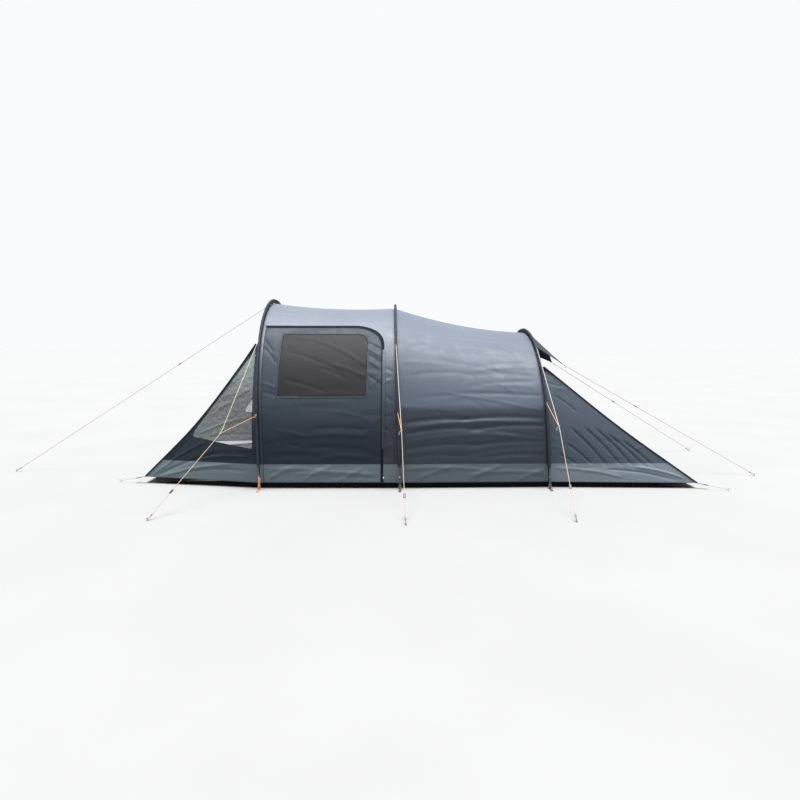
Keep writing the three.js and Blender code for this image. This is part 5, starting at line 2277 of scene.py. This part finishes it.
@dataclass
class FlyEnds:
    """Both wedge ends with the porch windows, the vent mesh and its hood."""

    front: Wedge = field(default_factory=lambda: Wedge(End.FRONT, FRONT_HOOP, FRONT_EDGE, 0.025, FRONT_GORE_FOLDS, 41))
    rear: Wedge = field(default_factory=lambda: Wedge(End.REAR, REAR_HOOP, REAR_EDGE, 0.020, REAR_GORE_FOLDS, 57))
    lap: float = 0.012

    def build(self) -> None:
        """Builds both ends."""
        self._front()
        self._rear()
        self._hood()

    def _front(self) -> None:
        """The porch: slope, gores with clear windows, and the upright panel above."""
        surface = self.front.surface()
        shell_piece = surface.shell("porch_fly")
        spans = {Side.NEAR: (-1.3, -0.82), Side.FAR: (0.82, 1.3)}
        window = outline_area(porch_window_line(0.0)) * self.front.gore_stretch()
        for side, span in spans.items():
            opening = prism(porch_window_line(CUT_GAP), *span)
            pane_cut = prism(porch_window_line(-CUT_GAP / 2), *span)
            pane = surface.shell(f"window_film_{side.word}", 0.0009)
            carve(pane, [(pane_cut, Carve.KEEP)])
            carve(shell_piece, [(opening, Carve.REMOVE)])
            drop(opening, pane_cut)
            settle(pane, Finish.CLEAR, replaces=[f"porch_window_{side.word}"])
        arch = self.front.arch(-1.342, 0.860, 1.273 - self.lap, 1.273, 43)
        top = arch.shell("porch_arch")
        settle(shell_piece, Finish.DOOR_FLY, replaces=["fly_porch"])
        settle(top, Finish.DOOR_FLY)
        self.front.piping()
        self.front.seams(surface)

    def _rear(self) -> None:
        """The rear end: slope and gores, with the net of the vent above."""
        surface = self.rear.surface()
        piece = settle(surface.shell("rear_end_fly"), Finish.END_FLY, replaces=["fly_rear_end"])
        arch = self.rear.arch(1.335, 0.770, 1.074 - 0.008, 1.074, 61)
        net = settle(arch.shell("vent_net"), Finish.NET, replaces=["vent_mesh"])
        self.rear.piping()
        self.rear.seams(surface)

    def _hood(self) -> None:
        """The vent hood with its bound edge and the webbing tabs at its tips."""
        half = REAR_HOOP.half_width - 0.016
        reach_x = REAR_HOOP.apex_x + 0.0145
        angle = np.linspace(math.acos(0.6 / half), math.pi - math.acos(0.6 / half), 2001)
        z = (REAR_HOOP.height - 0.016) * np.sin(angle) ** SQUARENESS
        arc = ArcLine(np.column_stack([np.full(2001, reach_x), -half * np.cos(angle), z]))
        u = np.linspace(0, 1, 110)
        top = arc.at(u)
        bow = np.sin(np.pi * u)
        tip = np.column_stack([1.690 - 0.070 * bow, 0.215 * (2 * u - 1), 1.058 + 0.090 * bow])
        v = np.linspace(0, 1, 46)[:, None, None]
        surface = Surface(top[None] * (1 - v) + tip[None] * v, (1.2, 0.0, 0.6))
        lift = np.zeros(surface.grid.shape[:2])
        folds = scattered_folds(71, 22, (-0.6, 0.0), (0.6, 0.4), 0.9, (0.15, 0.4), 0.003)
        add_folds(lift, folds, surface.grid[..., 1], np.broadcast_to(v[..., 0] * 0.4, lift.shape))
        surface.push(lift * np.clip(np.minimum(u, 1 - u) / 0.05, 0, 1)[None] * np.sin(np.pi * v[..., 0]))
        piece = settle(surface.shell("hood_cloth"), Finish.DOOR_FLY, replaces=["vent_hood"])
        along = np.linspace(0, 1, 120)
        points, normals = surface.read(np.full(120, 0.985), along, 0.0)
        binding = ribbon("hood_binding", points, normals, 0.014, 0.0044)
        settle(binding, Finish.SLEEVE)
        rows = [surface.read(np.full(120, r), along, 0.0011) for r in (0.03, 0.95)]
        settle(along_stitches("hood_seams", rows, 0.011), Finish.THREAD)
        for side in Side:
            corner = np.array([1.690, 0.215 * side.value, 1.058])
            out = unit(np.array([0.9, 0.25 * side.value, -0.5]))
            tab = sweep(
                f"hood_tab_{side.word}", smooth_path([corner - out * 0.03, corner, corner + out * 0.014], 14, 0.01),
                flat_section(0.018, 0.0018), up=(0.4, 0.0, 0.9),
            )
            settle(tab, Finish.WEBBING)


# ---- inner tent, floors and ground fittings -------------------------------------------------------------


@dataclass
class InnerTent:
    """The light inner tent that hangs in the bedroom bay, its door and both floors."""

    front_x: float = 0.150
    wall_x: float = 0.1555
    ridge_x: float = 1.090
    end_x: float = 2.150
    bend: float = 0.45
    inset: float = 0.160
    base_z: float = 0.008

    def build(self) -> None:
        """Builds the canopy, its walls and door and the floors."""
        canopy, canopy_cut = self._canopy()
        front = self._wall("inner_front_wall", MIDDLE_HOOP.line(self.inset, self.base_z), self.wall_x, 81)
        opening = self._door_cut(0.001)
        carve(front, [(opening, Carve.REMOVE)])
        drop(opening)
        door_cutter = self._door_cut(-0.002)
        door = self._wall("inner_door_cloth", MIDDLE_HOOP.line(self.inset, self.base_z), self.wall_x, 81)
        carve(door, [(door_cutter, Carve.KEEP)])
        drop(door_cutter)
        foot = self._wall("inner_foot_wall", self._foot_line(), self.end_x, 83)
        settle(canopy, Finish.INNER, replaces=["inner_canopy"])
        settle(front, Finish.INNER)
        settle(foot, Finish.INNER)
        settle(door, Finish.INNER, "inner_door", ["inner_door"])
        around = np.linspace(0, 1, 130)
        front_cut = outline_area(MIDDLE_HOOP.line(self.inset, self.base_z).at(around)[:, 1:])
        foot_cut = outline_area(self._foot_line().at(around)[:, 1:])
        self._floor("living_floor_cloth", "groundsheet", 1.335, 2.22, 91)
        self._floor("sleeping_floor_cloth", "inner_floor", 1.99, 1.9, 93)

    def _foot_line(self) -> ArcLine:
        """Arch of the low foot end."""
        return Hoop("foot", self.end_x, self.end_x, 0.900, 0.300).line(0.0, self.base_z)

    def _canopy(self) -> tuple[bpy.types.Object, float]:
        """Roof and walls, hung from points with soft folds between them, and their cut area."""
        u = np.linspace(0, 1, 90)[None, :, None]
        v = np.linspace(0, 1, 180)
        a = MIDDLE_HOOP.line(self.inset, self.base_z).at(v)
        b = REAR_HOOP.line(self.inset, self.base_z).at(v)
        c = self._foot_line().at(v)
        a[:, 0], b[:, 0] = self.front_x, self.ridge_x
        first = a[:, None] * (1 - u / self.bend) + b[:, None] * (u / self.bend)
        after = (u - self.bend) / (1 - self.bend)
        grid = np.where(u < self.bend, first, b[:, None] * (1 - after) + c[:, None] * after)
        surface = Surface(grid, (1.0, 0.0, 0.1))
        arc = np.broadcast_to(v[:, None] * 3.6, grid.shape[:2])
        lift = np.zeros(grid.shape[:2])
        folds = scattered_folds(85, 40, (0.2, 0.1), (2.1, 3.5), 0.7, (0.2, 0.9), 0.006)
        add_folds(lift, folds, grid[..., 0], arc)
        calm = np.clip(np.minimum(u[0, :, 0], 1 - u[0, :, 0]) / 0.05, 0, 1)
        surface.push(lift * calm * np.clip(np.minimum(v, 1 - v) / 0.02, 0, 1)[:, None])
        return surface.shell("inner_canopy_cloth"), surface.cut

    def _wall(self, name: str, arch: ArcLine, x: float, seed: int) -> bpy.types.Object:
        """An upright wall that fills an arch down to the floor.

        Args:
            name: Object name.
            arch: The arch.
            x: Where it stands.
            seed: Seed of its folds.

        Returns:
            The wall.
        """
        top = arch.at(np.linspace(0, 1, 130))
        top[:, 0] = x
        low = top.copy()
        low[:, 2] = self.base_z - 0.001
        v = np.linspace(0, 1, 90)[:, None, None]
        grid = low[None] * (1 - v) + top[None] * v
        grid[:, 0, 2] += np.linspace(0, 0.002, 90)
        grid[:, -1, 2] += np.linspace(0, 0.002, 90)
        surface = Surface(grid, (x + 1.0, 0.0, 0.5))
        y, z = grid[..., 1], grid[..., 2]
        lift = np.zeros(y.shape)
        folds = scattered_folds(seed, 30, (-0.9, 0.1), (0.9, 1.4), 1.4, (0.2, 0.7), 0.0016)
        add_folds(lift, folds, y, z)
        surface.push(lift * np.sin(np.pi * v[..., 0]))
        return surface.shell(name)

    def _door_outline(self, grow: float) -> Array:
        """The inner door's outline, as (y, z).

        Args:
            grow: How far it is moved outwards.

        Returns:
            The points.
        """
        near, far, base, top, r = -0.560 - grow, 0.330 + grow, 0.150 - grow, 1.230 + grow, 0.180
        parts = [[[near, base], [far, base], [far, top - r]]]
        parts.append(curve_points(np.array([far, top - r]), [np.array([far, top])], np.array([far - r, top]), 10))
        parts.append([[near + r, top]])
        parts.append(curve_points(np.array([near + r, top]), [np.array([near, top])], np.array([near, top - r]), 10))
        return np.vstack(parts)

    def _door_cut(self, grow: float) -> bpy.types.Object:
        """The inner door's cutting solid.

        Args:
            grow: How far its outline is moved outwards.

        Returns:
            The solid.
        """
        cutter = prism(self._door_outline(grow), -0.05, 0.05)
        turned = np.array([v.co for v in cutter.data.vertices])
        cutter.data.vertices.foreach_set(
            "co", np.column_stack([self.wall_x - turned[:, 1], turned[:, 0], turned[:, 2]]).astype(np.float32).ravel()
        )
        cutter.data.update()
        return cutter

    def _floor(self, name: str, node: str, width: float, length: float, seed: int) -> None:
        """A floor sheet with low wrinkles, inside its packed slab.

        Args:
            name: Object name.
            node: The CAD node that it stands for.
            width: Width of the cloth.
            length: Its length.
            seed: Seed of its wrinkles.
        """
        low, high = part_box(node)
        u = np.linspace(0, 1, 80)
        v = np.linspace(0, 1, 110)
        taper = 0.06 if node == "inner_floor" else 0.0
        x = low.x + (high.x - low.x) * u[:, None] + 0 * v[None]
        half = high.y * (1 - taper * 2 * u[:, None])
        y = half * (2 * v[None] - 1)
        grid = np.stack([x, y, np.full(x.shape, 0.0022)], axis=-1)
        surface = Surface(grid, (0.0, 0.0, -1.0))
        lift = np.zeros(x.shape)
        for fold in scattered_folds(seed, 40, (low.x, low.y), (high.x, high.y), 1.5, (0.2, 0.9), 0.0035):
            lift += np.abs(fold.lift(x, y))
        surface.push(lift)
        settle(surface.shell(name, 0.0012), Finish.FLOOR, replaces=[node])


@dataclass
class Skirt:
    """Painted shadow: a near-black strip that fills the gap between the fly's hem and the ground, a short way inside
    the hem.
    """

    inset: float = 0.022
    base_z: float = 0.004
    top_z: float = 0.058
    taper: float = 0.9
    seed: int = 19

    def build(self) -> None:
        """Builds one strip for each long side and each end."""
        for side in Side:
            self._strip(f"skirt_{side.word}", self._side_line(side))
        for end in End:
            self._strip(f"skirt_{end.word}", self._end_line(end))

    def _side_line(self, side: Side) -> Array:
        """The strip's foot along one long side."""
        corners = [
            (FRONT_EDGE[-1][0] + 0.03, FRONT_EDGE[-1][1] - self.inset),
            *((hoop.foot_x, hoop.half_width - FABRIC_INSET - self.inset) for hoop in HOOPS),
            (REAR_EDGE[-1][0] - 0.03, REAR_EDGE[-1][1] - self.inset),
        ]
        return np.array([(x, side.value * y) for x, y in corners])

    def _end_line(self, end: End) -> Array:
        """The strip's foot across one end."""
        x, y, _ = (FRONT_EDGE if end is End.FRONT else REAR_EDGE)[-1]
        x -= end.value * 0.032
        return np.array([(x, -y + self.inset), (x, y - self.inset)])

    def _strip(self, name: str, corners: Array) -> None:
        """Builds a strip over a foot line.

        Args:
            name: Object name.
            corners: Its (x, y) corners.
        """
        foot = respaced(np.column_stack([corners, np.zeros(len(corners))]), 260)
        side = unit(np.cross(unit(np.gradient(foot, axis=0)), (0, 0, 1.0)))
        draw = np.random.default_rng(self.seed + len(name))
        waves = sum(
            np.sin(np.linspace(0, draw.uniform(30, 120), 260) + draw.uniform(0, 6)) * draw.uniform(0.001, 0.003)
            for _ in range(5)
        )
        distance = np.linspace(0, path_length(foot), 260)
        to_end = np.minimum(distance, distance[-1] - distance)
        height = (self.top_z - self.base_z) * np.clip(to_end / self.taper, 0.08, 1)
        rows = []
        for share in np.linspace(0, 1, 7):
            row = foot + side * (waves * (1 - share))[:, None]
            row[:, 2] = self.base_z + height * share
            rows.append(row)
        strip = settle(shell(name, np.array(rows), 0.0012), Finish.SKIRT)


@dataclass
class GroundFittings:
    """Foot tabs at the poles and straps at the ends' corners, each with its peg."""

    tab_reach: float = 0.095
    tab_width: float = 0.025
    peg_back: float = 0.012

    def build(self) -> None:
        """Builds every tab and strap."""
        for side in Side:
            for hoop in HOOPS:
                self._foot_tab(hoop, side)
            for end, corner, peg in (
                (End.FRONT, FRONT_EDGE[-1], (-2.572, 0.922)),
                (End.REAR, REAR_EDGE[-1], (2.848, 1.251)),
            ):
                self._tip_strap(end, side, np.array(corner) * (1, side.value, 1), (peg[0], side.value * peg[1]))

    def _foot_tab(self, hoop: Hoop, side: Side) -> None:
        """Webbing round a pole's foot and out to its peg, with a ring: orange at the front hoop, dark at the others.

        Args:
            hoop: The hoop.
            side: Side of the tent.
        """
        s = side.value
        foot_y = hoop.half_width * s
        x = hoop.foot_x
        name = f"{hoop.name}_{side.word}"
        out = foot_y + s * self.tab_reach
        ground = smooth_path(
            [
                (x, foot_y - s * 0.012, 0.0022), (x, foot_y + s * 0.03, 0.0022),
                (x, out - s * 0.03, 0.003), (x, out, 0.0022),
            ],
            26, 0.012,
        )
        upright = smooth_path(
            [(x, foot_y + s * 0.017, 0.004), (x, foot_y + s * 0.0175, 0.05), (x, foot_y + s * 0.0165, 0.104)], 22, 0.02
        )
        flat = sweep(f"tab_{name}", ground, flat_section(self.tab_width, 0.0024), up=(0, 0, 1))
        tall = sweep(f"tab_up_{name}", upright, flat_section(self.tab_width - 0.006, 0.0022), up=(0, s, 0.0))
        finish = Finish.WEBBING if hoop is FRONT_HOOP else Finish.DARK_WEBBING
        settle(join(f"foot_webbing_{name}", [flat, tall]), finish, replaces=[f"foot_tab_{name}"])
        angle = np.linspace(0, 2 * math.pi, 36, endpoint=False)
        ring_path = np.column_stack(
            [x + 0.011 * np.cos(angle), np.full(36, foot_y + s * 0.0205), 0.030 + 0.011 * np.sin(angle)]
        )
        ring = sweep(f"tab_ring_{name}", ring_path, round_section(0.0017, 8), up=(0.0, 1.0, 0.0), closed=True)
        settle(ring, Finish.STEEL)
        peg = (x, out - s * self.peg_back)
        settle(PegMaker.make(f"tab_pin_{name}", peg, np.array([0.0, s, 0.0])), Finish.STEEL)
        rows = [(ground[4:20] + (dx, 0, 0.0017), (0.0, 0.0, 1.0)) for dx in (-0.008, 0.008)]
        rows += [(upright[2:20] + (dx, s * 0.0016, 0), (0.0, float(s), 0.0)) for dx in (-0.006, 0.006)]
        stitches = PathRepeater.run(
            f"tab_stitches_{name}", Repeat.STITCH, rows, RepeatSizes(0.006, 0.004, 0.0009, 0.0008), Finish.CORD
        )
        settle(stitches, Finish.CORD)

    def _tip_strap(self, end: End, side: Side, corner: Array, peg: Sequence[float]) -> None:
        """A corner's strap through its ladder buckle, and the cord on to its peg.

        Args:
            end: End of the tent.
            side: Side of the tent.
            corner: The fly's corner.
            peg: The peg's x and y.
        """
        name = f"{end.word}_{side.word}"
        goal = np.array([peg[0], peg[1], 0.014])
        run = goal - corner
        out = unit(run)
        across = unit(np.cross((0, 0, 1.0), out))
        up = np.cross(out, across)
        buckle = corner + run * 0.28
        strap = sweep(
            f"strap_{name}", smooth_path([corner - out * 0.012, corner + out * 0.02, buckle + out * 0.008], 16, 0.01),
            flat_section(0.020, 0.0024), up=up,
        )
        bars = []
        for shift in (-0.014, 0.0, 0.014):
            middle = buckle + out * shift
            bars.append(
                sweep(
                    f"bar_{shift}", np.linspace(middle - across * 0.013, middle + across * 0.013, 8),
                    round_section(0.0026, 8), up=up,
                )
            )
        for sign in (-1, 1):
            rail = buckle + across * 0.012 * sign
            bars.append(
                sweep(
                    f"rail_{sign}", np.linspace(rail - out * 0.016, rail + out * 0.016, 8),
                    round_section(0.0028, 8), up=up,
                )
            )
        cord = sweep(f"tip_cord_{name}", np.linspace(buckle, goal, 16), round_section(0.0022, 8), up=up)
        Wardrobe.dress(strap, Finish.DARK_WEBBING)
        for bar in bars:
            Wardrobe.dress(bar, Finish.PLASTIC)
        Wardrobe.dress(cord, Finish.CORD)
        whole = join(f"tip_webbing_{name}", [strap, *bars, cord])
        settle(whole, Finish.DARK_WEBBING, replaces=[f"tip_strap_{name}"])
        settle(PegMaker.make(f"tip_pin_{name}", peg, unit(out * (1, 1, 0))), Finish.STEEL)


def main() -> None:
    """Builds the studio and every sub-assembly in order."""
    logging.basicConfig(level=logging.INFO, format="%(name)s: %(message)s")
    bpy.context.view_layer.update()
    for stage in (Studio(), GuyLines(), HoopSet(), Tunnel(), FlyEnds(), InnerTent(), Skirt(), GroundFittings()):
        LOG.info("building %s", type(stage).__name__)
        stage.build()


if __name__ == "__main__":
    main()
